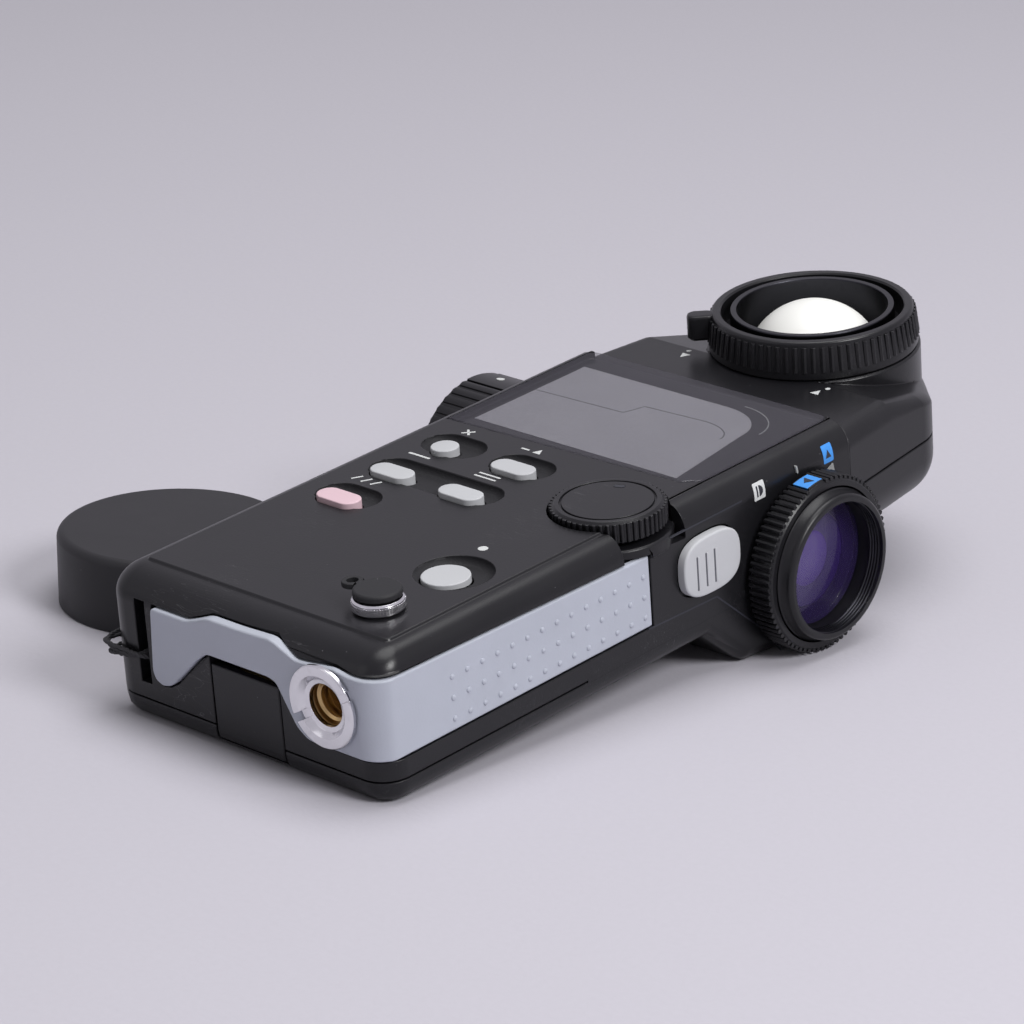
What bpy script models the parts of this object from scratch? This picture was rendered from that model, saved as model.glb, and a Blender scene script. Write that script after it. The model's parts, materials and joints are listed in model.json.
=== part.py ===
"""Hand-held light meter with a turning head, a spot viewfinder and its lens cap.

Every piece is drawn in the meter's own axes: +X across towards the objective, +Y along the
body towards the head, +Z out of the display face, with the middle of the lower end on the back
as zero.  Two empties carry the pieces: rest_frame lays the meter on the table, leaning on its
end edge and on the round hump of the viewfinder, and head_frame is the axis of the head.
"""
import math

import bmesh
import bpy
from mathutils import Matrix, Vector

MM = 0.001

# Fits shared by all pieces
gap = 0.3 * MM
overrun = 3.0 * MM
weld = 0.001 * MM
smooth_angle = math.radians(35)

# Body
body_width = 62.6 * MM
body_length = 113.2 * MM
body_depth = 26.0 * MM
body_wall = 2.4 * MM
end_wall = 2.2 * MM
top_wall = 2.2 * MM
back_wall = 2.0 * MM
end_corner = 5.0 * MM
parting_height = 4.2 * MM
back_fillet = 3.3 * MM
top_fillet_width = 3.9 * MM
end_fillet_width = 6.2 * MM
top_fillet_height = 4.7 * MM
panel_step_width = 0.25 * MM
panel_step_height = 0.4 * MM
fillet_steps = 4
corner_steps = 4
round_steps = 28

# Viewfinder axis, which runs along X through the body
optic_y = body_length - 13.3 * MM
optic_z = 6.15 * MM
hump_radius = 15.5 * MM
hump_wall = 1.8 * MM
hump_edge = 2.5 * MM
hump_edge_steps = 3
ramp_start = optic_y - 24.0 * MM
ramp_slope = math.radians(42)
ramp_corner = 3.0 * MM
ramp_flat_lift = math.radians(1)
hump_stop = math.radians(338)
neck_radius = 10.9 * MM
lens_bore = 8.3 * MM
lens_radius = lens_bore - gap
tube_radius = 9.5 * MM
tube_length = body_width - 9.6 * MM
saddle_place = body_width / 2 - 13.3 * MM
saddle_thickness = 2.0 * MM

# Objective, on the right
drum_radius = 13.2 * MM
objective_reach = 8.1 * MM
rim_radius = 12.67 * MM
rim_wall = 1.0 * MM
glass_seat_depth = 1.5 * MM
glass_radius = 11.0 * MM
glass_thickness = 1.0 * MM
cone_length = 2.2 * MM
selector_tip_radius = 15.4 * MM
selector_tooth = 0.45 * MM
selector_width = 4.7 * MM
selector_chamfer = 0.7 * MM
selector_teeth = 56
front_lens_thickness = 3.4 * MM
lens_crown = 0.9 * MM

# Eyepiece, on the left
zoom_ring_radius = 15.3 * MM
zoom_rib_height = 0.7 * MM
zoom_ring_width = 13.0 * MM
zoom_ribs = 30
eyepiece_radius = 12.2 * MM
eyepiece_length = 9.0 * MM
diopter_width = 2.1 * MM
eyecup_width = 1.8 * MM
eyecup_mouth = 10.6 * MM
zoom_lens_place = tube_length / 2 - 14.5 * MM
zoom_lens_thickness = 4.0 * MM
zoom_travel = 14.0 * MM
prism_side = 10.0 * MM
prism_place = 8.5 * MM - tube_length / 2
prism_wall_gap = 0.3 * MM
spot_sensor_radius = 3.4 * MM

# Head
head_length = 47.5 * MM
head_half_width = body_width / 2 - 0.3 * MM
head_low = 2.0 * MM
head_high = 24.0 * MM
head_parting = 13.0 * MM
head_wall = 2.2 * MM
head_end_radius = 19.3 * MM
shoulder_radius = 10.0 * MM
shoulder_side = 18.0 * MM
shoulder_back = 5.6 * MM
shoulder_steps = 3
deck_flat = 14.0 * MM
deck_slope = math.radians(14.6)
drum_foot_radius = 18.9 * MM
head_top_fillet = 3.5 * MM
head_low_fillet_width = 7.0 * MM
head_low_fillet_height = 7.5 * MM
head_arc_steps = 10
swivel_z = 13.0 * MM
shaft_radius = 6.0 * MM
shaft_bore = 4.4 * MM
shaft_flange_radius = 8.4 * MM
shaft_flange_thickness = 1.2 * MM
nut_radius = 8.0 * MM
nut_thickness = 1.0 * MM

# Incident light dome and its ring
ring_top = 31.0 * MM
ring_tip_radius = 18.3 * MM
ring_foot_radius = 19.0 * MM
ring_tooth = 0.45 * MM
ring_teeth = 48
ring_bore = 16.1 * MM
ring_ledge = 2.4 * MM
lug_angle = math.radians(46)
lug_reach = 22.2 * MM
lug_width = 3.6 * MM
lug_height = 4.7 * MM
well_radius = 14.55 * MM
well_bore = 13.25 * MM
well_floor = 12.4 * MM
well_floor_thickness = 1.2 * MM
dome_radius = 12.4 * MM
dome_wall = 1.2 * MM
dome_rise = 11.5 * MM
dome_centre = 19.2 * MM
carrier_height = 4.4 * MM
carrier_wall = 2.4 * MM
sensor_radius = 3.6 * MM
sensor_height = 2.2 * MM
sensor_board_radius = 12.0 * MM
sensor_board_thickness = 1.2 * MM

# Display
window_width = body_width - 12.6 * MM
window_start_share = 0.682
window_start = body_length * window_start_share
window_thickness = 1.2 * MM
display_width = window_width - 7.0 * MM
display_length = body_length - window_start - 9.0 * MM
display_centre = (body_length + window_start) / 2
display_thickness = 1.9 * MM
display_border = 1.6 * MM
display_frame_thickness = 2.3 * MM

# Boards
board_width = body_width - 11.0 * MM
board_start = 12.0 * MM
board_end = body_length - 4.2 * MM
board_low = 17.2 * MM
board_thickness = 1.4 * MM
mat_thickness = 2.5 * MM
post_radius = 1.2 * MM
post_inset = 1.6 * MM
post_side = board_width / 2 - post_inset
post_near = 17.0 * MM
post_far = board_end - post_inset * 2
post_middle_share = 0.375
post_places = ((-post_side, post_near), (0, post_near),
               (post_side, body_length * post_middle_share),
               (-post_side, post_far), (post_side, post_far))

# Buttons of the top panel: two columns, three rows and the power button
column_left = 14.0 * MM - body_width / 2
column_pitch = 15.8 * MM
column_right = column_left + column_pitch
row_first_share = 0.357
row_pitch_share = 0.1113
row_first = body_length * row_first_share
row_pitch = body_length * row_pitch_share
button_length = 8.8 * MM
button_width = 4.3 * MM
button_proud = 0.9 * MM
button_flange = 0.8 * MM
button_flange_thickness = 1.2 * MM
clear_diameter = 4.9 * MM
power_share = 0.2527
power_inset = 12.8 * MM
power_place = (body_width / 2 - power_inset, body_length * power_share)
power_diameter = 8.1 * MM
scoop_length = 12.6 * MM
scoop_width = 8.4 * MM
scoop_depth = 1.25 * MM
scoop_shift = 2.0 * MM
power_scoop_diameter = 14.4 * MM
power_scoop_shift = 1.7 * MM
button_travel = 0.5 * MM
stadium_steps = 4

# Jog wheel
jog_share = 0.5627
jog_inset = 9.9 * MM
jog_place = (body_width / 2 - jog_inset, body_length * jog_share)
jog_radius = 10.3 * MM
jog_tooth = 0.4 * MM
jog_teeth = 40
jog_low = 21.4 * MM
jog_top = 27.2 * MM
jog_chamfer = 0.5 * MM
jog_groove_radius = 8.0 * MM
jog_groove_width = 0.5 * MM
jog_groove_depth = 0.4 * MM
jog_pocket_gap = 0.4 * MM
jog_cup_wall = 1.2 * MM
jog_cup_floor = 1.0 * MM
jog_lip_radius = 11.3 * MM
jog_lip_low = 20.0 * MM
jog_lip_top = 24.4 * MM
jog_lip_edge = 1.0 * MM
jog_shaft_radius = 2.0 * MM
encoder_radius = 5.0 * MM
encoder_thickness = 0.6 * MM

# Side buttons
side_button_y = optic_y - 24.1 * MM
side_button_z = 14.4 * MM
measure_length = 14.0 * MM
measure_height = 10.4 * MM
measure_power_share = 2.8
measure_proud = 1.6 * MM
memory_length = 9.0 * MM
memory_height = 6.0 * MM
memory_proud = 1.2 * MM
side_pocket_depth = 1.0 * MM
side_button_travel = 0.6 * MM
stem_radius = 2.5 * MM
stem_head_radius = 3.5 * MM
stem_head_thickness = 1.1 * MM
stem_length = 4.1 * MM

# Flash terminal and its cap
sync_share = 0.1228
sync_inset = 13.1 * MM
sync_place = (body_width / 2 - sync_inset, body_length * sync_share)
sync_radius = 4.4 * MM
sync_height = 1.5 * MM
sync_stem_radius = 3.2 * MM
sync_stem_length = 4.0 * MM
sync_bore = 2.4 * MM
sync_bore_depth = 3.6 * MM
sync_cap_radius = 4.2 * MM
sync_cap_thickness = 2.2 * MM
sync_plug_radius = 2.1 * MM
sync_plug_length = 2.6 * MM
sync_tab_radius = 2.0 * MM
sync_tab_bore = 1.1 * MM
sync_tab_thickness = 1.2 * MM

# Grip with the arm that the tripod ring clamps
tripod_x = body_width / 2 - 11.6 * MM
grip_thickness = 1.3 * MM
grip_low = 8.0 * MM
grip_high = 18.8 * MM
grip_end = side_button_y - 13.8 * MM
arm_proud = 0.6 * MM
arm_tip = 10.4 * MM - body_width / 2
arm_outline = ((arm_tip, 9.0 * MM), (arm_tip + 1.3 * MM, 7.7 * MM), (arm_tip + 3.1 * MM, 8.0 * MM),
               (arm_tip + 5.1 * MM, 9.2 * MM), (-9.3 * MM, 15.2 * MM), (-7.2 * MM, 16.7 * MM),
               (6.9 * MM, 16.7 * MM), (8.6 * MM, 16.2 * MM), (12.6 * MM, 9.6 * MM),
               (15.0 * MM, grip_low))
arm_upper_outline = ((tripod_x + 5.3 * MM, grip_high), (tripod_x + 2.3 * MM, 22.2 * MM),
                     (tripod_x - 3.5 * MM, 21.6 * MM), (tripod_x - 6.1 * MM, 21.4 * MM),
                     (11.2 * MM, 22.4 * MM), (8.2 * MM, 23.6 * MM),
                     (1.0 * MM, 23.3 * MM), (-6.1 * MM, 23.3 * MM), (-8.3 * MM, 22.5 * MM),
                     (-11.2 * MM, 21.5 * MM), (arm_tip + 2.0 * MM, 21.5 * MM),
                     (arm_tip + 0.3 * MM, 20.2 * MM))
dot_columns = 14
dot_rows = 3
dot_start = 15.75 * MM
dot_end_margin = 1.6 * MM
dot_pitch = (grip_end - dot_start - dot_end_margin) / (dot_columns - 1)
dot_top_row = 17.2 * MM
dot_row_pitch = 3.6 * MM
dot_radius = 0.75 * MM
dot_height = 0.35 * MM

# Tripod ring and thread
tripod_z = 15.5 * MM
tripod_ring_radius = 7.02 * MM
tripod_ring_bore = 4.65 * MM
tripod_ring_thickness = 0.8 * MM
tripod_neck_radius = 6.0 * MM
tripod_neck_length = 0.9 * MM
tripod_slot_width = 1.5 * MM
tripod_slot_depth = 0.5 * MM
tripod_slot_turn = math.radians(30)
insert_radius = 5.0 * MM
insert_length = 9.0 * MM
insert_bore = 3.05 * MM
insert_bore_depth = 8.0 * MM
insert_boss_radius = 7.2 * MM

# Battery bay
cell_x = 0.9 * MM
cell_radius = 7.1 * MM
cell_length = 50.5 * MM
cell_start = 4.2 * MM
cell_nub_radius = 2.7 * MM
cell_nub_length = 1.3 * MM
cell_edge = 0.5 * MM
cradle_thickness = 1.2 * MM
cradle_height = 5.0 * MM
cradle_end_margin = 3.0 * MM
spring_length = 2.3 * MM
spring_radius = 5.0 * MM
spring_tip_radius = 3.0 * MM
spring_wire = 0.8 * MM
stop_height = 9.0 * MM
stop_thickness = 1.6 * MM
door_left = -6.8 * MM
door_right = 8.5 * MM
door_low = 1.9 * MM
door_high = 15.0 * MM
door_thickness = 1.5 * MM
door_clearance = 0.5 * MM
door_mouth_high = 16.9 * MM
door_contact_radius = 4.0 * MM
door_contact_thickness = 0.4 * MM

# Strap eyelet at the lower left corner
eyelet_slot_left = 7.2 * MM - body_width / 2
eyelet_slot_width = 2.4 * MM
eyelet_low = 7.2 * MM
eyelet_high = 21.8 * MM
eyelet_post_depth = 4.5 * MM
eyelet_block_wall = 1.8 * MM
strap_radius = 0.65 * MM
strap_height = 12.0 * MM
strap_slant = 1.2 * MM
strap_steps = 24

# Back screws
screw_side = body_width / 2 - 6.8 * MM
screw_near = 14.0 * MM
screw_far = optic_y - 35.9 * MM
screw_places = ((-screw_side, screw_near), (screw_side, screw_near),
                (-screw_side, screw_far), (screw_side, screw_far))
screw_head_radius = 2.4 * MM
screw_head_thickness = 1.3 * MM
screw_sink = 0.5 * MM
screw_shaft_radius = 1.1 * MM
screw_length = 9.0 * MM
screw_boss_radius = 3.6 * MM
screw_boss_margin = 1.6 * MM

# Lens cap, lying beside the meter on the table
cap_radius = 20.2 * MM
cap_height = 13.3 * MM
cap_wall = 1.9 * MM
cap_top = 2.0 * MM
cap_edge = 1.7 * MM
cap_place = (-body_width / 2 - 30.7 * MM, 41.3 * MM)

# Worked out from the sizes above
half_width = body_width / 2
objective_face = half_width + gap
rim_face = half_width + objective_reach
inner_top = body_depth - top_wall
head_start = body_length + gap
head_end = head_start + head_length
ring_y = head_end - head_end_radius
ring_foot = head_high + gap
board_top = board_low + board_thickness
cell_z = back_wall + gap * 2 + cell_radius
hinge_y = door_thickness / 2
hinge_z = door_low + door_thickness / 2
selector_start = half_width + gap * 3
neck_end = tube_length / 2 + gap
rest_span = math.hypot(optic_y - back_fillet, optic_z - back_fillet)
rest_angle = (math.asin((hump_radius - back_fillet) / rest_span)
              - math.atan2(optic_z - back_fillet, optic_y - back_fillet))
rest_lift = back_fillet * (1 - math.cos(rest_angle) - math.sin(rest_angle))
reach_left = cap_place[0] - cap_radius
reach_right = rim_face
reach_front = (-(arm_proud + gap + tripod_ring_thickness) * math.cos(rest_angle)
               - (tripod_z + tripod_ring_radius) * math.sin(rest_angle))
reach_back = (head_end * math.cos(rest_angle)
              - (head_low + head_low_fillet_height) * math.sin(rest_angle))
rest_shift = (-(reach_left + reach_right) / 2, -(reach_front + reach_back) / 2)

BLACK = ("black_plastic", (0.018, 0.018, 0.020, 1), 0.38, 0.0)
INNER_BLACK = ("inner_black", (0.010, 0.010, 0.011, 1), 0.7, 0.0)
GREY_GRIP = ("grip_grey", (0.22, 0.23, 0.26, 1), 0.55, 0.0)
GREY_KEY = ("key_grey", (0.50, 0.51, 0.54, 1), 0.5, 0.0)
PINK_KEY = ("key_pink", (0.62, 0.40, 0.44, 1), 0.5, 0.0)
RUBBER = ("soft_rubber", (0.022, 0.022, 0.024, 1), 0.75, 0.0)
CHROME = ("chrome", (0.75, 0.76, 0.78, 1), 0.18, 1.0)
BRASS = ("brass", (0.72, 0.52, 0.25, 1), 0.3, 1.0)
STEEL = ("spring_steel", (0.56, 0.57, 0.58, 1), 0.35, 1.0)
SMOKED = ("smoked_window", (0.05, 0.05, 0.06, 1), 0.08, 0.0)
DISPLAY = ("display_grey", (0.30, 0.32, 0.30, 1), 0.3, 0.0)
GLASS = ("coated_glass", (0.12, 0.09, 0.20, 1), 0.05, 0.0)
OPAL = ("opal_dome", (0.90, 0.90, 0.88, 1), 0.45, 0.0)
BOARD = ("board_green", (0.03, 0.16, 0.07, 1), 0.5, 0.0)
CELL = ("cell_wrap", (0.10, 0.11, 0.13, 1), 0.35, 0.3)
CORD = ("braided_cord", (0.02, 0.02, 0.02, 1), 0.85, 0.0)


def clear_scene():
    """Remove whatever the scene holds."""
    for item in list(bpy.data.objects):
        bpy.data.objects.remove(item, do_unlink=True)


def make_material(finish):
    """Return the Principled material of a finish, made once."""
    name, colour, roughness, metallic = finish
    found = bpy.data.materials.get(name)
    if found:
        return found
    made = bpy.data.materials.new(name)
    made.use_nodes = True
    shader = made.node_tree.nodes["Principled BSDF"]
    shader.inputs["Base Color"].default_value = colour
    shader.inputs["Roughness"].default_value = roughness
    shader.inputs["Metallic"].default_value = metallic
    made.diffuse_color = colour
    return made


class Frames:
    """The empties that carry the pieces, with their places in the meter's axes."""
    places = {}

    @classmethod
    def add(cls, name, place, parent=None, rotation=(0, 0, 0), location=None):
        frame = bpy.data.objects.new(name, None)
        bpy.context.collection.objects.link(frame)
        cls.places[name] = Vector(place)
        frame.rotation_euler = rotation
        if parent:
            frame.parent = bpy.data.objects[parent]
            frame.location = cls.places[name] - cls.places[parent]
        else:
            frame.location = location
        return frame


def place_mesh(name, bm, finish, pivot=(0, 0, 0), frame="rest_frame"):
    """Turn a mesh drawn in the meter's axes into an object whose origin is the pivot."""
    bmesh.ops.recalc_face_normals(bm, faces=bm.faces)
    bmesh.ops.translate(bm, verts=bm.verts, vec=-Vector(pivot))
    mesh = bpy.data.meshes.new(name)
    bm.to_mesh(mesh)
    bm.free()
    item = bpy.data.objects.new(name, mesh)
    bpy.context.collection.objects.link(item)
    item.parent = bpy.data.objects[frame]
    item.location = Vector(pivot) - Frames.places[frame]
    if finish:
        mesh.materials.append(make_material(finish))
        mesh.shade_smooth()
        mesh.set_sharp_from_angle(angle=smooth_angle)
    else:
        item.hide_render = True
        item.display_type = "WIRE"
    return item


def combine(target, tool, operation):
    """Add an exact Boolean of a helper solid to a piece."""
    step = target.modifiers.new(tool.name, "BOOLEAN")
    step.operation = operation
    step.solver = "EXACT"
    step.object = tool


def cut(target, bm, name, frame="rest_frame"):
    """Cut a helper solid out of a piece."""
    helper = place_mesh(name, bm, None, frame=frame)
    combine(target, helper, "DIFFERENCE")
    return helper


def join(target, bm, name, frame="rest_frame"):
    """Fuse a helper solid to a piece."""
    helper = place_mesh(name, bm, None, frame=frame)
    combine(target, helper, "UNION")
    return helper


def on_axis(axis, first, second, along):
    """Point of an outline drawn across an axis: x-y along Z, x-z along Y, y-z along X."""
    if axis == "Z":
        return Vector((first, second, along))
    if axis == "Y":
        return Vector((first, along, second))
    return Vector((along, first, second))


def prism(outline, start, stop, axis="Z"):
    """Extrude a flat outline along an axis."""
    bm = bmesh.new()
    corners = [bm.verts.new(on_axis(axis, a, b, start)) for a, b in outline]
    face = bm.faces.new(corners)
    moved = bmesh.ops.extrude_face_region(bm, geom=[face])
    raised = [part for part in moved["geom"] if isinstance(part, bmesh.types.BMVert)]
    bmesh.ops.translate(bm, verts=raised, vec=on_axis(axis, 0, 0, stop - start))
    return bm


def box(low, high):
    """Rectangular block between two corners."""
    outline = ((low[0], low[1]), (high[0], low[1]), (high[0], high[1]), (low[0], high[1]))
    return prism(outline, low[2], high[2])


def stack(levels, axis="Z"):
    """Skin a stack of outlines with equal counts; each level is (outline, place on the axis)."""
    bm = bmesh.new()
    rings = [[bm.verts.new(on_axis(axis, a, b, along)) for a, b in outline]
             for outline, along in levels]
    count = len(rings[0])
    for lower, upper in zip(rings, rings[1:]):
        for i in range(count):
            j = (i + 1) % count
            bm.faces.new((lower[i], lower[j], upper[j], upper[i]))
    bm.faces.new(rings[0])
    bm.faces.new(rings[-1])
    return bm


def turned(profile, centre, axis="Z", steps=round_steps):
    """Spin a closed profile of (radius, place on the axis) round an axis through centre."""
    bm = bmesh.new()
    first, second = centre
    corners = [bm.verts.new(on_axis(axis, first + radius, second, along))
               for radius, along in profile]
    pairs = zip(corners, corners[1:] + corners[:1], profile, list(profile[1:]) + [profile[0]])
    edges = [bm.edges.new((a, b)) for a, b, here, there in pairs if here[0] > weld or there[0] > weld]
    bmesh.ops.spin(bm, geom=corners + edges, cent=on_axis(axis, first, second, 0),
                   axis=on_axis(axis, 0, 0, 1), angle=math.tau, steps=steps, use_merge=True)
    bmesh.ops.remove_doubles(bm, verts=bm.verts, dist=weld)
    bmesh.ops.dissolve_degenerate(bm, edges=bm.edges, dist=weld)
    return bm


def disc(radius, start, stop, centre, axis="Z", steps=round_steps):
    """Plain round block."""
    return turned(((0, start), (radius, start), (radius, stop), (0, stop)), centre, axis, steps)


def sleeve(inner, outer, start, stop, centre, axis="Z", steps=round_steps):
    """Plain round tube."""
    return turned(((inner, start), (outer, start), (outer, stop), (inner, stop)),
                  centre, axis, steps)


def arc(centre, radius, begin, end, steps):
    """Points of a circular arc, both ends included."""
    turns = [begin + (end - begin) * i / steps for i in range(steps + 1)]
    return [(centre[0] + radius * math.cos(t), centre[1] + radius * math.sin(t)) for t in turns]


def stadium(centre, length, width, grow=0):
    """Outline with round ends, its long way across the meter."""
    radius = width / 2
    reach = max(length / 2 - radius, 0)
    right = arc((centre[0] + reach, centre[1]), radius + grow,
                -math.pi / 2, math.pi / 2, stadium_steps * 2)
    left = arc((centre[0] - reach, centre[1]), radius + grow,
               math.pi / 2, math.pi * 3 / 2, stadium_steps * 2)
    if reach == 0:
        return right + left[1:-1]
    return right + left


def toothed(tip, tooth, count, centre, taper=0):
    """Outline of a ring of V-shaped teeth."""
    points = []
    for i in range(count * 2):
        turn = math.tau * i / (count * 2)
        radius = tip - taper - (tooth if i % 2 else 0)
        points.append((centre[0] + radius * math.cos(turn), centre[1] + radius * math.sin(turn)))
    return points


def body_outline(inset, end_inset=None):
    """Plan of the body: round corners at the lower end, square ones at the head."""
    side = half_width - inset
    radius = max(end_corner - inset, gap)
    near = (inset if end_inset is None else end_inset) + radius
    lower_left = arc((-side + radius, near), radius, math.pi, math.pi * 3 / 2, corner_steps)
    lower_right = arc((side - radius, near), radius, -math.pi / 2, 0, corner_steps)
    return lower_left + lower_right + [(side, body_length), (-side, body_length)]


def top_levels():
    """Insets of sides and end, and heights, of the round top edge and the panel's step."""
    spring_line = body_depth - panel_step_height - top_fillet_height
    levels = []
    for i in range(fillet_steps + 1):
        turn = math.pi / 2 * i / fillet_steps
        levels.append((top_fillet_width * (1 - math.cos(turn)),
                       end_fillet_width * (1 - math.cos(turn)),
                       spring_line + top_fillet_height * math.sin(turn)))
    levels.append((top_fillet_width + panel_step_width, end_fillet_width + panel_step_width,
                   body_depth))
    return levels


def front_form(low):
    """Outer form of the front shell from a height upwards."""
    levels = [(body_outline(0), low)]
    levels += [(body_outline(side, end), height) for side, end, height in top_levels()]
    return stack(levels)


def back_form(high):
    """Outer form of the rear shell, without the hump, up to a height."""
    levels = []
    for i in range(fillet_steps + 1):
        turn = math.pi / 2 * i / fillet_steps
        levels.append((body_outline(back_fillet * (1 - math.sin(turn))),
                       back_fillet * (1 - math.cos(turn))))
    levels.append((body_outline(0), high))
    return stack(levels)


def button_places():
    """Name, centre, length and width of each button on the top panel."""
    rows = [row_first + row_pitch * i for i in range(3)]
    return {
        "mode_button": (column_left, rows[0], button_length, button_width),
        "iso_button": (column_left, rows[1], button_length, button_width),
        "iso_two_button": (column_right, rows[1], button_length, button_width),
        "clear_button": (column_left, rows[2], clear_diameter, clear_diameter),
        "average_button": (column_right, rows[2], button_length, button_width),
        "power_button": (power_place[0], power_place[1], power_diameter, power_diameter),
    }


def scoop(centre, length, width, shift):
    """Finger scoop: a round-ended block let in aslant, deepest at the side of the head."""
    bm = prism(stadium(centre, length, width), 0, overrun * 2)
    tilt = math.atan2(scoop_depth, width)
    near = Vector((centre[0], centre[1] - width / 2, 0))
    turn = Matrix.Translation(near) @ Matrix.Rotation(-tilt, 4, "X") @ Matrix.Translation(-near)
    bmesh.ops.transform(bm, matrix=Matrix.Translation((0, shift, body_depth)) @ turn,
                        verts=bm.verts)
    return bm


def side_oval(length, height, grow=0, steps=20):
    """Rounded oval of a side button, drawn in y and z."""
    points = []
    for i in range(steps):
        turn = math.tau * i / steps
        c, s = math.cos(turn), math.sin(turn)
        a = length / 2 + grow
        b = height / 2 + grow
        points.append((side_button_y + a * math.copysign(abs(c) ** (2 / measure_power_share), c),
                       side_button_z + b * math.copysign(abs(s) ** (2 / measure_power_share), s)))
    return points


def strip_outline(outer, inner, side, end):
    """Plan of the strip that wraps the lower right corner, between two offsets of the body."""
    far = (arm_outline[0][0] - overrun, end)
    corner = half_width - end_corner
    outside = [(far[0], -outer)]
    outside += arc((corner, end_corner), end_corner + outer, -math.pi / 2, 0, corner_steps)
    outside = [(min(x, side), y) for x, y in outside]
    outside.append((side, far[1]))
    inside = [(half_width - inner, far[1])]
    inside += arc((corner, end_corner), end_corner - inner, 0, -math.pi / 2, corner_steps)
    inside.append((far[0], inner))
    return outside + inside


def grow_outline(points, amount):
    """Move each side of a closed outline outwards by an amount."""
    area = sum(a[0] * b[1] - b[0] * a[1] for a, b in zip(points, points[1:] + points[:1]))
    sign = 1 if area > 0 else -1
    grown = []
    for before, here, after in zip(points[-1:] + points[:-1], points, points[1:] + points[:1]):
        first = Vector((here[0] - before[0], here[1] - before[1])).normalized()
        second = Vector((after[0] - here[0], after[1] - here[1])).normalized()
        normal = Vector((first.y + second.y, -first.x - second.x)).normalized() * sign
        spread = max(normal.dot(Vector((first.y, -first.x)) * sign), 0.5)
        grown.append((here[0] + normal.x * amount / spread, here[1] + normal.y * amount / spread))
    return grown


def grip_outline():
    """The arm and the grip as seen from the lower end, closed at the right."""
    right = half_width + overrun
    return list(arm_outline) + [(right, grip_low), (right, grip_high)] + list(arm_upper_outline)


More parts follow.
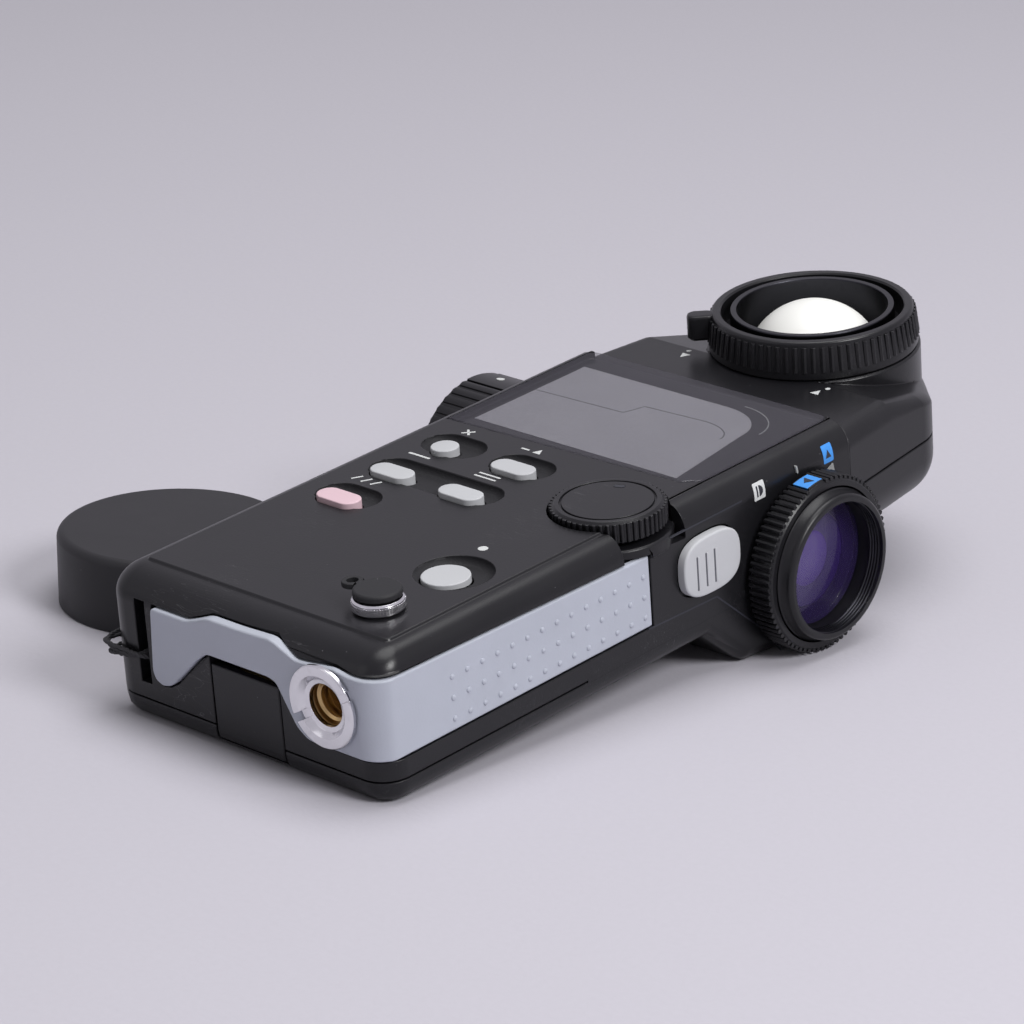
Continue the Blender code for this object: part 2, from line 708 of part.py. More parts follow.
def make_front_shell():
    """Front half of the body: panel with finger scoops, pockets, windows and eyelet."""
    low = parting_height + gap / 2
    shell = place_mesh("front_shell", front_form(low), BLACK)
    cavity_outline = [(x, min(y, body_length - end_wall)) for x, y in body_outline(body_wall)]
    cavity = place_mesh("cut_front_cavity", prism(cavity_outline, low - overrun, inner_top), None)
    keep_cup = disc(jog_radius + jog_pocket_gap + jog_cup_wall,
                    jog_low - gap * 2 - jog_cup_floor, inner_top + overrun, jog_place, steps=28)
    cut(cavity, keep_cup, "keep_jog_cup")
    block = box((-half_width, 0, low - overrun * 2),
                (eyelet_slot_left + eyelet_slot_width + eyelet_block_wall,
                 eyelet_post_depth + eyelet_slot_width + eyelet_block_wall, body_depth))
    cut(cavity, block, "keep_eyelet_block")
    for i, place in enumerate(post_places):
        cut(cavity, disc(post_radius, board_top + gap, body_depth, place, steps=12),
            f"keep_post_{i + 1}")
    cut(cavity, disc(insert_boss_radius, 0, insert_length + end_wall / 2, (tripod_x, tripod_z),
                     "Y", 24), "keep_insert_boss")
    boss_top = screw_sink + screw_head_thickness + screw_length + screw_boss_margin
    for i, (x, y) in enumerate(screw_places):
        inner = x - math.copysign(screw_boss_radius, x)
        outer = math.copysign(half_width, x)
        cut(cavity, box((min(inner, outer), y - screw_boss_radius, 0),
                        (max(inner, outer), y + screw_boss_radius, boss_top)),
            f"keep_front_boss_{i + 1}")
    combine(shell, cavity, "DIFFERENCE")

    window = box((-window_width / 2 - gap, window_start - gap, body_depth - window_thickness - gap),
                 (window_width / 2 + gap, body_length + overrun, body_depth + overrun))
    cut(shell, window, "cut_window_seat")
    view = box((-display_width / 2 + display_border, display_centre - display_length / 2
                + display_border, inner_top - overrun),
               (display_width / 2 - display_border, display_centre + display_length / 2
                - display_border, body_depth))
    cut(shell, view, "cut_display_opening")

    places = button_places()
    for name, (x, y, length, width) in places.items():
        hole = prism(stadium((x, y), length, width, gap), inner_top - overrun,
                     body_depth + overrun)
        cut(shell, hole, "cut_hole_" + name)
    cut(shell, scoop((column_left, row_first), scoop_length, scoop_width, scoop_shift),
        "cut_scoop_mode")
    middle = (column_left + column_right) / 2
    trough = scoop_length + column_right - column_left
    cut(shell, scoop((middle, row_first + row_pitch), trough, scoop_width, scoop_shift),
        "cut_scoop_iso")
    cut(shell, scoop((column_left, row_first + row_pitch * 2), scoop_length, scoop_width,
                     scoop_shift), "cut_scoop_clear")
    cut(shell, scoop((column_right, row_first + row_pitch * 2), scoop_length, scoop_width,
                     scoop_shift), "cut_scoop_average")
    cut(shell, scoop(power_place, power_scoop_diameter, power_scoop_diameter,
                     power_scoop_shift), "cut_scoop_power")

    lip = ((0, jog_lip_low), (jog_lip_radius - jog_lip_edge, jog_lip_low),
           (jog_lip_radius, jog_lip_low + jog_lip_edge), (jog_lip_radius, jog_lip_top),
           (0, jog_lip_top))
    join(shell, turned(lip, jog_place, steps=32), "join_jog_lip")
    pocket = turned(((0, jog_low - gap * 2), (jog_radius + jog_pocket_gap, jog_low - gap * 2),
                     (jog_radius + jog_pocket_gap, body_depth + overrun),
                     (0, body_depth + overrun)), jog_place)
    cut(shell, pocket, "cut_jog_pocket")
    cut(shell, disc(jog_shaft_radius + gap, board_top, jog_low, jog_place, steps=20),
        "cut_jog_shaft")
    cut(shell, disc(sync_stem_radius + gap, inner_top - overrun, body_depth + overrun,
                    sync_place, steps=20), "cut_sync_hole")

    strip = prism(strip_outline(overrun, grip_thickness + gap, half_width + overrun,
                                grip_end + overrun), 0, body_depth)
    recess = place_mesh("cut_grip_recess", strip, None)
    mask = prism(grow_outline(grip_outline(), gap), -overrun * 2, grip_end + gap, "Y")
    combine(recess, place_mesh("mask_grip_recess", mask, None), "INTERSECT")
    combine(shell, recess, "DIFFERENCE")
    cut(shell, disc(insert_radius + gap, -overrun, insert_length + end_wall + overrun,
                    (tripod_x, tripod_z), "Y", 24), "cut_insert_hole")

    for sign, name, length, height in ((1, "measure", measure_length, measure_height),
                                       (-1, "memory", memory_length, memory_height)):
        pocket = prism(side_oval(length, height, gap), sign * (half_width - side_pocket_depth),
                       sign * (half_width + overrun), "X")
        cut(shell, pocket, f"cut_{name}_pocket")
        cut(shell, disc(stem_radius + gap, sign * (half_width - body_wall - overrun),
                        sign * half_width, (side_button_y, side_button_z), "X", 16),
            f"cut_{name}_stem")

    cut(shell, disc(neck_radius + gap, -half_width - overrun, half_width + overrun,
                    (optic_y, optic_z), "X"), "cut_front_optics")
    cut(shell, disc(shaft_radius + gap, body_length - end_wall - overrun, body_length + overrun,
                    (0, swivel_z), "Y", 24), "cut_swivel_hole")
    door = box((door_left - gap, -overrun, 0), (door_right + gap, end_wall + overrun,
                                                 door_mouth_high))
    cut(shell, door, "cut_front_door_mouth")

    slot_right = eyelet_slot_left + eyelet_slot_width
    slot = prism(((eyelet_slot_left, -overrun), (slot_right, -overrun),
                  (slot_right, eyelet_post_depth + eyelet_slot_width),
                  (-half_width - overrun, eyelet_post_depth + eyelet_slot_width),
                  (-half_width - overrun, eyelet_post_depth),
                  (eyelet_slot_left, eyelet_post_depth)), eyelet_low, eyelet_high)
    cut(shell, slot, "cut_eyelet")
    for i, place in enumerate(screw_places):
        cut(shell, disc(screw_shaft_radius + gap, 0, screw_sink + screw_head_thickness
                        + screw_length + gap, place, steps=12), f"cut_front_screw_{i + 1}")
    return shell


def hump_outline(inset):
    """Hump seen along X: a ramp, a short flat that clears the table, and the round part."""
    lean = rest_angle + ramp_flat_lift
    flat = (-math.sin(lean), -math.cos(lean))
    ramp = (-math.sin(ramp_slope), -math.cos(ramp_slope))
    flat_reach = flat[0] * optic_y + flat[1] * optic_z + hump_radius - ramp_corner
    ramp_reach = ramp[0] * ramp_start - ramp_corner
    spread = flat[0] * ramp[1] - flat[1] * ramp[0]
    corner = ((flat_reach * ramp[1] - flat[1] * ramp_reach) / spread,
              (flat[0] * ramp_reach - flat_reach * ramp[0]) / spread)
    turn = math.pi * 3 / 2
    top = back_fillet + overrun
    start = ramp_start - (top - inset / math.cos(ramp_slope)) / math.tan(ramp_slope)
    points = [(start, top)]
    points += arc(corner, ramp_corner - inset, turn - ramp_slope, turn - lean, 2)
    points += arc((optic_y, optic_z), hump_radius - inset, turn - lean, hump_stop, 9)
    points.append((points[-1][0], top))
    return points


def hump_form():
    """Outer form of the hump, as wide as the body, with round edges at its sides."""
    levels = []
    for i in range(hump_edge_steps + 1):
        turn = math.pi / 2 * i / hump_edge_steps
        levels.append((hump_outline(hump_edge * (1 - math.cos(turn))),
                       half_width - hump_edge * (1 - math.sin(turn))))
    mirrored = [(outline, -along) for outline, along in reversed(levels)]
    return stack(mirrored + levels, "X")


def make_rear_shell():
    """Back half of the body, with the hump of the viewfinder, the cradle and the saddles."""
    high = parting_height - gap / 2
    shell = place_mesh("rear_shell", back_form(high), BLACK)
    hump = place_mesh("join_hump", hump_form(), None)
    limit = overrun * 5
    cut(hump, box((-half_width - limit, 0, high), (half_width + limit, body_length + limit,
                                                   body_depth + limit)), "cut_hump_top")
    cut(hump, box((-half_width - limit, body_length, -hump_radius),
                  (half_width + limit, body_length + limit, body_depth)), "cut_hump_end")
    combine(shell, hump, "UNION")

    side = half_width - body_wall
    outline = [(x, min(y, body_length - end_wall)) for x, y in body_outline(body_wall)]
    cavity = place_mesh("cut_rear_cavity", prism(outline, back_wall, high + overrun), None)
    hollow = place_mesh("join_hump_hollow",
                        disc(hump_radius - hump_wall, gap - side, side - gap, (optic_y, optic_z), "X", 28),
                        None)
    cut(hollow, box((-half_width, body_length - end_wall, -hump_radius),
                    (half_width, body_length + limit, body_depth)), "cut_hollow_end")
    combine(cavity, hollow, "UNION")
    tall = high + overrun * 3
    ribs = []
    for sign, name in ((-1, "left"), (1, "right")):
        inner = cell_x + sign * (cell_radius + gap)
        outer = inner + sign * cradle_thickness
        ribs.append((f"join_cradle_{name}", box(
            (min(inner, outer), end_wall + gap, back_wall / 2),
            (max(inner, outer), cell_start + cell_length - cradle_end_margin,
             back_wall + cradle_height))))
        cut(cavity, box((sign * saddle_place - saddle_thickness / 2, optic_y - hump_radius,
                         -hump_radius),
                        (sign * saddle_place + saddle_thickness / 2, body_length, tall)),
            f"keep_saddle_{name}")
    stop_y = cell_start + cell_length + spring_length + gap
    ribs.append(("join_stop", box((cell_x - cell_radius, stop_y, back_wall / 2),
                                  (cell_x + cell_radius, stop_y + stop_thickness,
                                   back_wall + stop_height))))
    for i, place in enumerate(screw_places):
        cut(cavity, disc(screw_boss_radius, 0, tall, place, steps=20), f"keep_screw_boss_{i + 1}")
    combine(shell, cavity, "DIFFERENCE")
    for name, rib in ribs:
        join(shell, rib, name)

    cut(shell, disc(tube_radius + gap, -side - gap, side + gap, (optic_y, optic_z), "X"),
        "cut_tube_seat")
    cut(shell, disc(neck_radius + gap, -half_width - overrun, half_width + overrun,
                    (optic_y, optic_z), "X", 30), "cut_rear_optics")
    door = box((door_left - gap, -overrun, door_low - door_clearance),
               (door_right + gap, door_thickness + gap * 2, high + overrun))
    cut(shell, door, "cut_rear_door_mouth")
    cut(shell, disc(cell_radius + gap, door_thickness, end_wall + overrun, (cell_x, cell_z),
                    "Y", 24), "cut_rear_cell_mouth")
    for i, place in enumerate(screw_places):
        cut(shell, disc(screw_head_radius + gap, -overrun, screw_sink + screw_head_thickness + gap,
                        place, steps=20), f"cut_screw_head_{i + 1}")
        cut(shell, disc(screw_shaft_radius + gap, 0, high + overrun, place, steps=12),
            f"cut_rear_screw_{i + 1}")
    return shell


def make_screws():
    """Four back screws, sunk in their holes."""
    for i, place in enumerate(screw_places):
        top = screw_sink + screw_head_thickness
        profile = ((0, screw_sink), (screw_head_radius, screw_sink), (screw_head_radius, top),
                   (screw_shaft_radius, top), (screw_shaft_radius, top + screw_length),
                   (0, top + screw_length))
        place_mesh(f"back_screw_{i + 1}", turned(profile, place, steps=10), STEEL,
                   pivot=(place[0], place[1], screw_sink))


def make_window_and_display():
    """Smoked window, the display under it and the frame that lifts it off the board."""
    low = body_depth - window_thickness
    place_mesh("display_window", box((-window_width / 2, window_start, low),
                                     (window_width / 2, body_length, body_depth)), SMOKED)
    top = inner_top - gap
    near = display_centre - display_length / 2
    far = display_centre + display_length / 2
    place_mesh("display_panel", box((-display_width / 2, near, top - display_thickness),
                                    (display_width / 2, far, top)), DISPLAY)
    frame_top = top - display_thickness - gap
    frame = place_mesh("display_frame", box((-display_width / 2, near, board_top + gap),
                                            (display_width / 2, far, frame_top)), INNER_BLACK)
    cut(frame, box((-display_width / 2 + display_border * 2, near + display_border * 2,
                    board_top - overrun),
                   (display_width / 2 - display_border * 2, far - display_border * 2,
                    frame_top + overrun)), "cut_display_frame")


def make_boards():
    """Main board and the rubber mat that springs the buttons back."""
    half = board_width / 2
    place_mesh("main_board", box((-half, board_start, board_low), (half, board_end, board_top)),
               BOARD)
    left = column_left - scoop_length / 2
    notch = column_right + button_length
    right = power_place[0] + power_diameter / 2 + button_flange
    low = power_place[1] - power_diameter / 2 - button_flange
    near = row_first - button_width
    far = row_first + row_pitch * 2 + button_width
    inset = power_place[0] - power_diameter / 2 - button_flange
    rise = near + button_width
    outline = ((left, near), (inset, near), (inset, low), (right, low), (right, rise),
               (notch, rise), (notch, far), (left, far))
    place_mesh("button_mat", prism(outline, board_top + gap, board_top + gap + mat_thickness),
               RUBBER)


def make_buttons():
    """Buttons of the top panel, each with the flange that keeps it in."""
    top = inner_top - gap
    for name, (x, y, length, width) in button_places().items():
        low = top - button_flange_thickness
        finish = PINK_KEY if name == "mode_button" else GREY_KEY
        crown = button_proud / 3
        outline = stadium((x, y), length, width)
        flange = stadium((x, y), length, width, button_flange)
        levels = [(flange, low), (flange, top), (outline, top),
                  (outline, body_depth + button_proud - crown),
                  (stadium((x, y), length, width, -crown), body_depth + button_proud)]
        place_mesh(name, stack(levels), finish, pivot=(x, y, low))


def make_jog():
    """Jog wheel in its pocket, and the encoder that it turns."""
    x, y = jog_place
    outer = toothed(jog_radius, jog_tooth, jog_teeth, jog_place)
    rim = toothed(jog_radius, jog_tooth, jog_teeth, jog_place, jog_chamfer)
    levels = [(outer, jog_low), (outer, jog_top - jog_chamfer), (rim, jog_top)]
    wheel = place_mesh("jog_wheel", stack(levels), BLACK, pivot=(x, y, jog_low))
    groove = sleeve(jog_groove_radius - jog_groove_width, jog_groove_radius,
                    jog_top - jog_groove_depth, jog_top + overrun, jog_place, steps=32)
    cut(wheel, groove, "cut_jog_groove")
    shaft = disc(jog_shaft_radius, board_top + gap * 2, (jog_low + jog_top) / 2, jog_place,
                 steps=16)
    join(wheel, shaft, "join_jog_shaft")
    place_mesh("jog_encoder", sleeve(jog_shaft_radius + gap, encoder_radius, board_top + gap,
                                     board_top + gap + encoder_thickness, jog_place, steps=16),
               INNER_BLACK)


def make_side_buttons():
    """Measuring button on the right, memory button on the left."""
    for sign, name, length, height, proud, finish in (
            (1, "measure_button", measure_length, measure_height, measure_proud, GREY_KEY),
            (-1, "memory_button", memory_length, memory_height, memory_proud, GREY_KEY)):
        seat = half_width - side_pocket_depth + side_button_travel + gap
        top = half_width + proud
        crown = proud / 3
        levels = [(side_oval(length, height), sign * seat),
                  (side_oval(length, height), sign * (top - crown)),
                  (side_oval(length, height, -crown), sign * top)]
        button = place_mesh(name, stack(levels, "X"), finish,
                            pivot=(sign * seat, side_button_y, side_button_z))
        head = seat - stem_length
        profile = ((0, sign * head), (stem_head_radius, sign * head),
                   (stem_head_radius, sign * (head + stem_head_thickness)),
                   (stem_radius, sign * (head + stem_head_thickness)),
                   (stem_radius, sign * (seat + proud / 2)), (0, sign * (seat + proud / 2)))
        stem = turned(profile, (side_button_y, side_button_z), "X", 16)
        join(button, stem, f"join_{name}_stem")


def make_sync():
    """Flash terminal and the cap that closes it."""
    x, y = sync_place
    base = body_depth + gap
    top = base + sync_height
    low = base - sync_stem_length
    floor = top - sync_bore_depth
    profile = ((0, low), (sync_stem_radius, low), (sync_stem_radius, base), (sync_radius, base),
               (sync_radius, top), (sync_bore, top), (sync_bore, floor), (0, floor))
    place_mesh("sync_terminal", turned(profile, sync_place, steps=20), CHROME,
               pivot=(x, y, base))
    seat = top + gap
    crown = seat + sync_cap_thickness
    edge = sync_cap_thickness / 5
    profile = ((0, seat - sync_plug_length), (sync_plug_radius, seat - sync_plug_length),
               (sync_plug_radius, seat), (sync_cap_radius, seat),
               (sync_cap_radius, crown - edge), (sync_cap_radius - edge, crown), (0, crown))
    cap = place_mesh("sync_cap", turned(profile, sync_place, steps=20), RUBBER,
                     pivot=(x, y, seat))
    tab_x = x - sync_cap_radius - sync_tab_bore
    tab = sleeve(sync_tab_bore, sync_tab_radius, seat + edge, seat + edge + sync_tab_thickness,
                 (tab_x, y), steps=12)
    join(cap, tab, "join_sync_tab")


def make_grip():
    """Grey grip: dotted side strip and the arm that runs round to the thumb pad."""
    strip = prism(strip_outline(arm_proud, grip_thickness, half_width, grip_end), 0, body_depth)
    grip = place_mesh("side_grip", strip, GREY_GRIP)
    mask = prism(grip_outline(), -overrun * 2, grip_end + overrun, "Y")
    combine(grip, place_mesh("mask_grip", mask, None), "INTERSECT")
    dots = bmesh.new()
    for row in range(dot_rows):
        for column in range(dot_columns):
            centre = Vector((half_width, dot_start + dot_pitch * column,
                             dot_top_row - dot_row_pitch * row))
            turn = Matrix.Translation(centre) @ Matrix.Rotation(math.pi / 2, 4, "Y")
            bmesh.ops.create_cone(dots, cap_ends=True, segments=6, radius1=dot_radius,
                                  radius2=dot_radius / 3, depth=dot_height * 2,
                                  matrix=turn)
    join(grip, dots, "join_dots")
    hole = disc(tripod_neck_radius + gap, -overrun, end_corner, (tripod_x, tripod_z), "Y", 32)
    cut(grip, hole, "cut_grip_hole")


def make_tripod():
    """Slotted ring that clamps the arm, and the threaded insert behind it."""
    back = -arm_proud - gap
    face = back - tripod_ring_thickness
    profile = ((tripod_ring_bore, face), (tripod_ring_radius, face), (tripod_ring_radius, back),
               (tripod_neck_radius, back), (tripod_neck_radius, back + tripod_neck_length),
               (tripod_ring_bore, back + tripod_neck_length))
    ring = place_mesh("tripod_ring", turned(profile, (tripod_x, tripod_z), "Y", 32), CHROME,
                      pivot=(tripod_x, back, tripod_z))
    slot = box((-tripod_ring_radius - overrun, face - overrun, -tripod_slot_width / 2),
               (tripod_ring_radius + overrun, face + tripod_slot_depth, tripod_slot_width / 2))
    spin = Matrix.Rotation(-tripod_slot_turn, 4, "Y")
    bmesh.ops.transform(slot, matrix=Matrix.Translation((tripod_x, 0, tripod_z)) @ spin,
                        verts=slot.verts)
    cut(ring, slot, "cut_spanner_slot")
    start = back + tripod_neck_length + gap
    stop = start + insert_length
    profile = ((insert_bore, start), (insert_radius, start), (insert_radius, stop), (0, stop),
               (0, start + insert_bore_depth), (insert_bore, start + insert_bore_depth))
    place_mesh("tripod_insert", turned(profile, (tripod_x, tripod_z), "Y", 24), BRASS,
               pivot=(tripod_x, start, tripod_z))


def make_battery():
    """Cell, its spring, and the hinged door with the front contact."""
    back = cell_start + cell_length
    edge = cell_edge
    profile = ((0, cell_start - cell_nub_length), (cell_nub_radius, cell_start - cell_nub_length),
               (cell_nub_radius, cell_start), (cell_radius - edge, cell_start),
               (cell_radius, cell_start + edge), (cell_radius, back - edge),
               (cell_radius - edge, back), (0, back))
    place_mesh("battery_cell", turned(profile, (cell_x, cell_z), "Y", 20), CELL,
               pivot=(cell_x, cell_start, cell_z))
    start = back + gap
    stop = back + spring_length
    profile = ((spring_tip_radius - spring_wire, start), (spring_tip_radius, start),
               (spring_radius, stop), (spring_radius - spring_wire, stop))
    place_mesh("battery_spring", turned(profile, (cell_x, cell_z), "Y", 16), STEEL,
               pivot=(cell_x, start, cell_z))
    door = place_mesh("battery_door", back_form(parting_height), BLACK,
                      pivot=(0, hinge_y, hinge_z))
    join(door, front_form(parting_height - gap), "join_door_form")
    limits = box((door_left, -overrun, door_low), (door_right, door_thickness, door_high))
    combine(door, place_mesh("mask_door", limits, None), "INTERSECT")
    place_mesh("door_contact", disc(door_contact_radius, door_thickness + gap / 2,
                                    door_thickness + gap / 2 + door_contact_thickness,
                                    (cell_x, cell_z), "Y", 16), BRASS,
               pivot=(0, hinge_y, hinge_z))


def make_strap():
    """Loop of thin cord round the corner post of the eyelet."""
    slot_x = eyelet_slot_left + eyelet_slot_width / 2
    slot_y = eyelet_post_depth + eyelet_slot_width / 2
    out = strap_radius + gap * 2
    left = -half_width - out
    near = -out
    middle = ((left + slot_x) / 2, (near + slot_y) / 2)
    half = ((slot_x - left) / 2, (slot_y - near) / 2)
    curve = bpy.data.curves.new("strap_loop", "CURVE")
    curve.dimensions = "3D"
    curve.bevel_depth = strap_radius
    curve.bevel_resolution = 2
    spline = curve.splines.new("POLY")
    spline.points.add(strap_steps - 1)
    squareness = 0.5
    for i, point in enumerate(spline.points):
        turn = math.tau * i / strap_steps
        c, s = math.cos(turn), math.sin(turn)
        point.co = (middle[0] + half[0] * math.copysign(abs(c) ** squareness, c),
                    middle[1] + half[1] * math.copysign(abs(s) ** squareness, s),
                    strap_height + strap_slant * s, 1)
    spline.use_cyclic_u = True
    loop = bpy.data.objects.new("strap_loop", curve)
    bpy.context.collection.objects.link(loop)
    loop.parent = bpy.data.objects["rest_frame"]
    curve.materials.append(make_material(CORD))


def make_viewfinder():
    """Tube, zoom lens, prism and spot sensor inside the body."""
    centre = (optic_y, optic_z)
    half = tube_length / 2
    tube = place_mesh("finder_tube", sleeve(lens_bore, tube_radius, -half, half, centre, "X", 24),
                      INNER_BLACK)
    cut(tube, disc(spot_sensor_radius + gap, optic_z, optic_z + tube_radius + overrun,
                   (prism_place, optic_y), steps=20), "cut_sensor_port")
    start = zoom_lens_place - zoom_lens_thickness / 2
    stop = zoom_lens_place + zoom_lens_thickness / 2
    place_mesh("zoom_lens", turned(lens_profile(lens_radius, start, stop), centre, "X", 16), GLASS,
               pivot=(zoom_lens_place, optic_y, optic_z))
    side = prism_side / 2
    low, high = prism_place - side, prism_place + side
    holder = place_mesh("prism_holder", disc(lens_radius, low, high, centre, "X", 24),
                        INNER_BLACK)
    reach = side + prism_wall_gap
    cut(holder, box((low - overrun, optic_y - reach, optic_z - reach),
                    (high + overrun, optic_y + reach, optic_z + reach)), "cut_prism_seat")
    place_mesh("prism", box((low, optic_y - side, optic_z - side),
                            (high, optic_y + side, optic_z + side)), GLASS)
    place_mesh("spot_sensor", disc(spot_sensor_radius, optic_z + lens_radius + gap,
                                   board_low - gap, (prism_place, optic_y), steps=20),
               INNER_BLACK)


def lens_profile(radius, start, stop):
    """Turned profile of a lens that is thicker in the middle."""
    rings = (1.0, 0.66, 0.33)
    rise = lens_crown
    front = [(radius * share, stop - rise * share ** 2) for share in rings] + [(0, stop)]
    back = [(0, start)] + [(radius * share, start + rise * share ** 2)
                           for share in reversed(rings)]
    return back + front


def make_objective():
    """Objective barrel with its glass and lens, and the selector ring round it."""
    centre = (optic_y, optic_z)
    seat = objective_face + glass_seat_depth
    profile = ((lens_bore, neck_end), (neck_radius, neck_end), (neck_radius, objective_face),
               (drum_radius, objective_face), (drum_radius, rim_face - cone_length),
               (rim_radius, rim_face), (rim_radius - rim_wall, rim_face),
               (glass_radius + gap, seat + glass_thickness + gap), (glass_radius + gap, seat),
               (lens_bore, seat))
    place_mesh("objective_barrel", turned(profile, centre, "X", 36), BLACK)
    place_mesh("objective_glass", disc(glass_radius, seat + gap, seat + gap + glass_thickness,
                                       centre, "X", 32), GLASS)
    stop = seat - gap
    place_mesh("front_lens", turned(lens_profile(lens_radius, stop - front_lens_thickness, stop),
                                    centre, "X", 20), GLASS)
    start = selector_start
    stop = start + selector_width
    outer = toothed(selector_tip_radius, selector_tooth, selector_teeth, centre)
    rim = toothed(selector_tip_radius, selector_tooth, selector_teeth, centre, selector_chamfer)
    ring = place_mesh("selector_ring", stack([(outer, start), (outer, stop - selector_chamfer),
                                              (rim, stop)], "X"), BLACK,
                      pivot=(start, optic_y, optic_z))
    cut(ring, disc(drum_radius + gap, start - overrun, stop + overrun, centre, "X", 36),
        "cut_selector_bore")


def make_eyepiece():
    """Eyepiece barrel, zoom ring, lens, sight adjustment ring and eye cup."""
    centre = (optic_y, optic_z)
    face = -objective_face
    end = face - eyepiece_length
    profile = ((lens_bore, -neck_end), (neck_radius, -neck_end), (neck_radius, face),
               (eyepiece_radius, face), (eyepiece_radius, end), (lens_bore, end))
    place_mesh("eyepiece_barrel", turned(profile, centre, "X", 28), INNER_BLACK)
    start = -selector_start
    stop = start - zoom_ring_width
    ribs = []
    count = zoom_ribs * 4
    for i in range(count):
        turn = math.tau * (i + (0.3 if i % 2 else -0.3)) / count
        radius = zoom_ring_radius - (zoom_rib_height if (i // 2) % 2 else 0)
        ribs.append((optic_y + radius * math.cos(turn), optic_z + radius * math.sin(turn)))
    ring = place_mesh("zoom_ring", prism(ribs, start, stop, "X"), BLACK,
                      pivot=(start, optic_y, optic_z))
    cut(ring, disc(eyepiece_radius + gap, stop - overrun, start + overrun, centre, "X", 32),
        "cut_zoom_bore")
    back = end + gap
    place_mesh("eyepiece_lens", turned(lens_profile(lens_radius, back,
                                                    back + front_lens_thickness),
                                       centre, "X", 20), GLASS)
    start = end - gap
    stop = start - diopter_width
    place_mesh("diopter_ring", sleeve(lens_bore, eyepiece_radius, start, stop, centre, "X", 32),
               BLACK, pivot=(start, optic_y, optic_z))
    start = stop - gap
    stop = start - eyecup_width
    profile = ((lens_bore, start), (eyepiece_radius, start), (eyepiece_radius, stop),
               (eyecup_mouth, stop))
    place_mesh("eyecup", turned(profile, centre, "X", 32), RUBBER,
               pivot=(start, optic_y, optic_z))


def head_outline(inset):
    """Plan of the head: sides that close in a little, shoulders and the round end."""
    radius = shoulder_radius - inset
    across = head_half_width - inset - shoulder_side
    back = head_start - ring_y + shoulder_back
    begin = math.atan2(back, across) + math.acos(radius / math.hypot(across, back))
    turn = (math.acos((head_end_radius - shoulder_radius) / math.hypot(shoulder_side, shoulder_back))
            - math.atan2(shoulder_back, shoulder_side))
    place = ring_y - shoulder_back
    right = arc((shoulder_side, place), radius, begin, turn, shoulder_steps)
    end = arc((0, ring_y), head_end_radius - inset, turn, math.pi - turn, head_arc_steps)
    left = [(-x, y) for x, y in reversed(right)]
    side = head_half_width - inset
    return [(side, head_start)] + right + end + left + [(-side, head_start)]


def head_form(low, high):
    """Outer form of the head between two heights, its top sloping down to the round end."""
    levels = []
    for i in range(fillet_steps + 1):
        turn = math.pi / 2 * i / fillet_steps
        levels.append((head_low_fillet_width * (1 - math.sin(turn)),
                       head_low + head_low_fillet_height * (1 - math.cos(turn))))
    top = head_high - head_top_fillet
    for i in range(fillet_steps + 1):
        turn = math.pi / 2 * i / fillet_steps
        levels.append((head_top_fillet * (1 - math.cos(turn)), top + head_top_fillet
                       * math.sin(turn)))
    bm = stack([(head_outline(inset), height) for inset, height in levels])
    slope = (0, math.sin(deck_slope), math.cos(deck_slope))
    for place, normal in (((0, 0, low), (0, 0, -1)), ((0, 0, high), (0, 0, 1)),
                          ((0, head_start + deck_flat, head_high), slope)):
        parts = bm.verts[:] + bm.edges[:] + bm.faces[:]
        done = bmesh.ops.bisect_plane(bm, geom=parts, dist=weld, plane_co=place,
                                      plane_no=normal, clear_outer=True)
        rim = [part for part in done["geom_cut"] if isinstance(part, bmesh.types.BMEdge)]
        if rim:
            bmesh.ops.contextual_create(bm, geom=rim)
    return bm


def head_hollow(low, high):
    """Space inside the head, below the sloping top."""
    outline = [(x, max(y, head_start + head_wall)) for x, y in head_outline(head_wall)]
    bm = prism(outline, low, high)
    slope = (0, math.sin(deck_slope), math.cos(deck_slope))
    done = bmesh.ops.bisect_plane(bm, geom=bm.verts[:] + bm.edges[:] + bm.faces[:], dist=weld,
                                  plane_co=(0, head_start + deck_flat, high), plane_no=slope,
                                  clear_outer=True)
    rim = [part for part in done["geom_cut"] if isinstance(part, bmesh.types.BMEdge)]
    bmesh.ops.contextual_create(bm, geom=rim)
    return bm


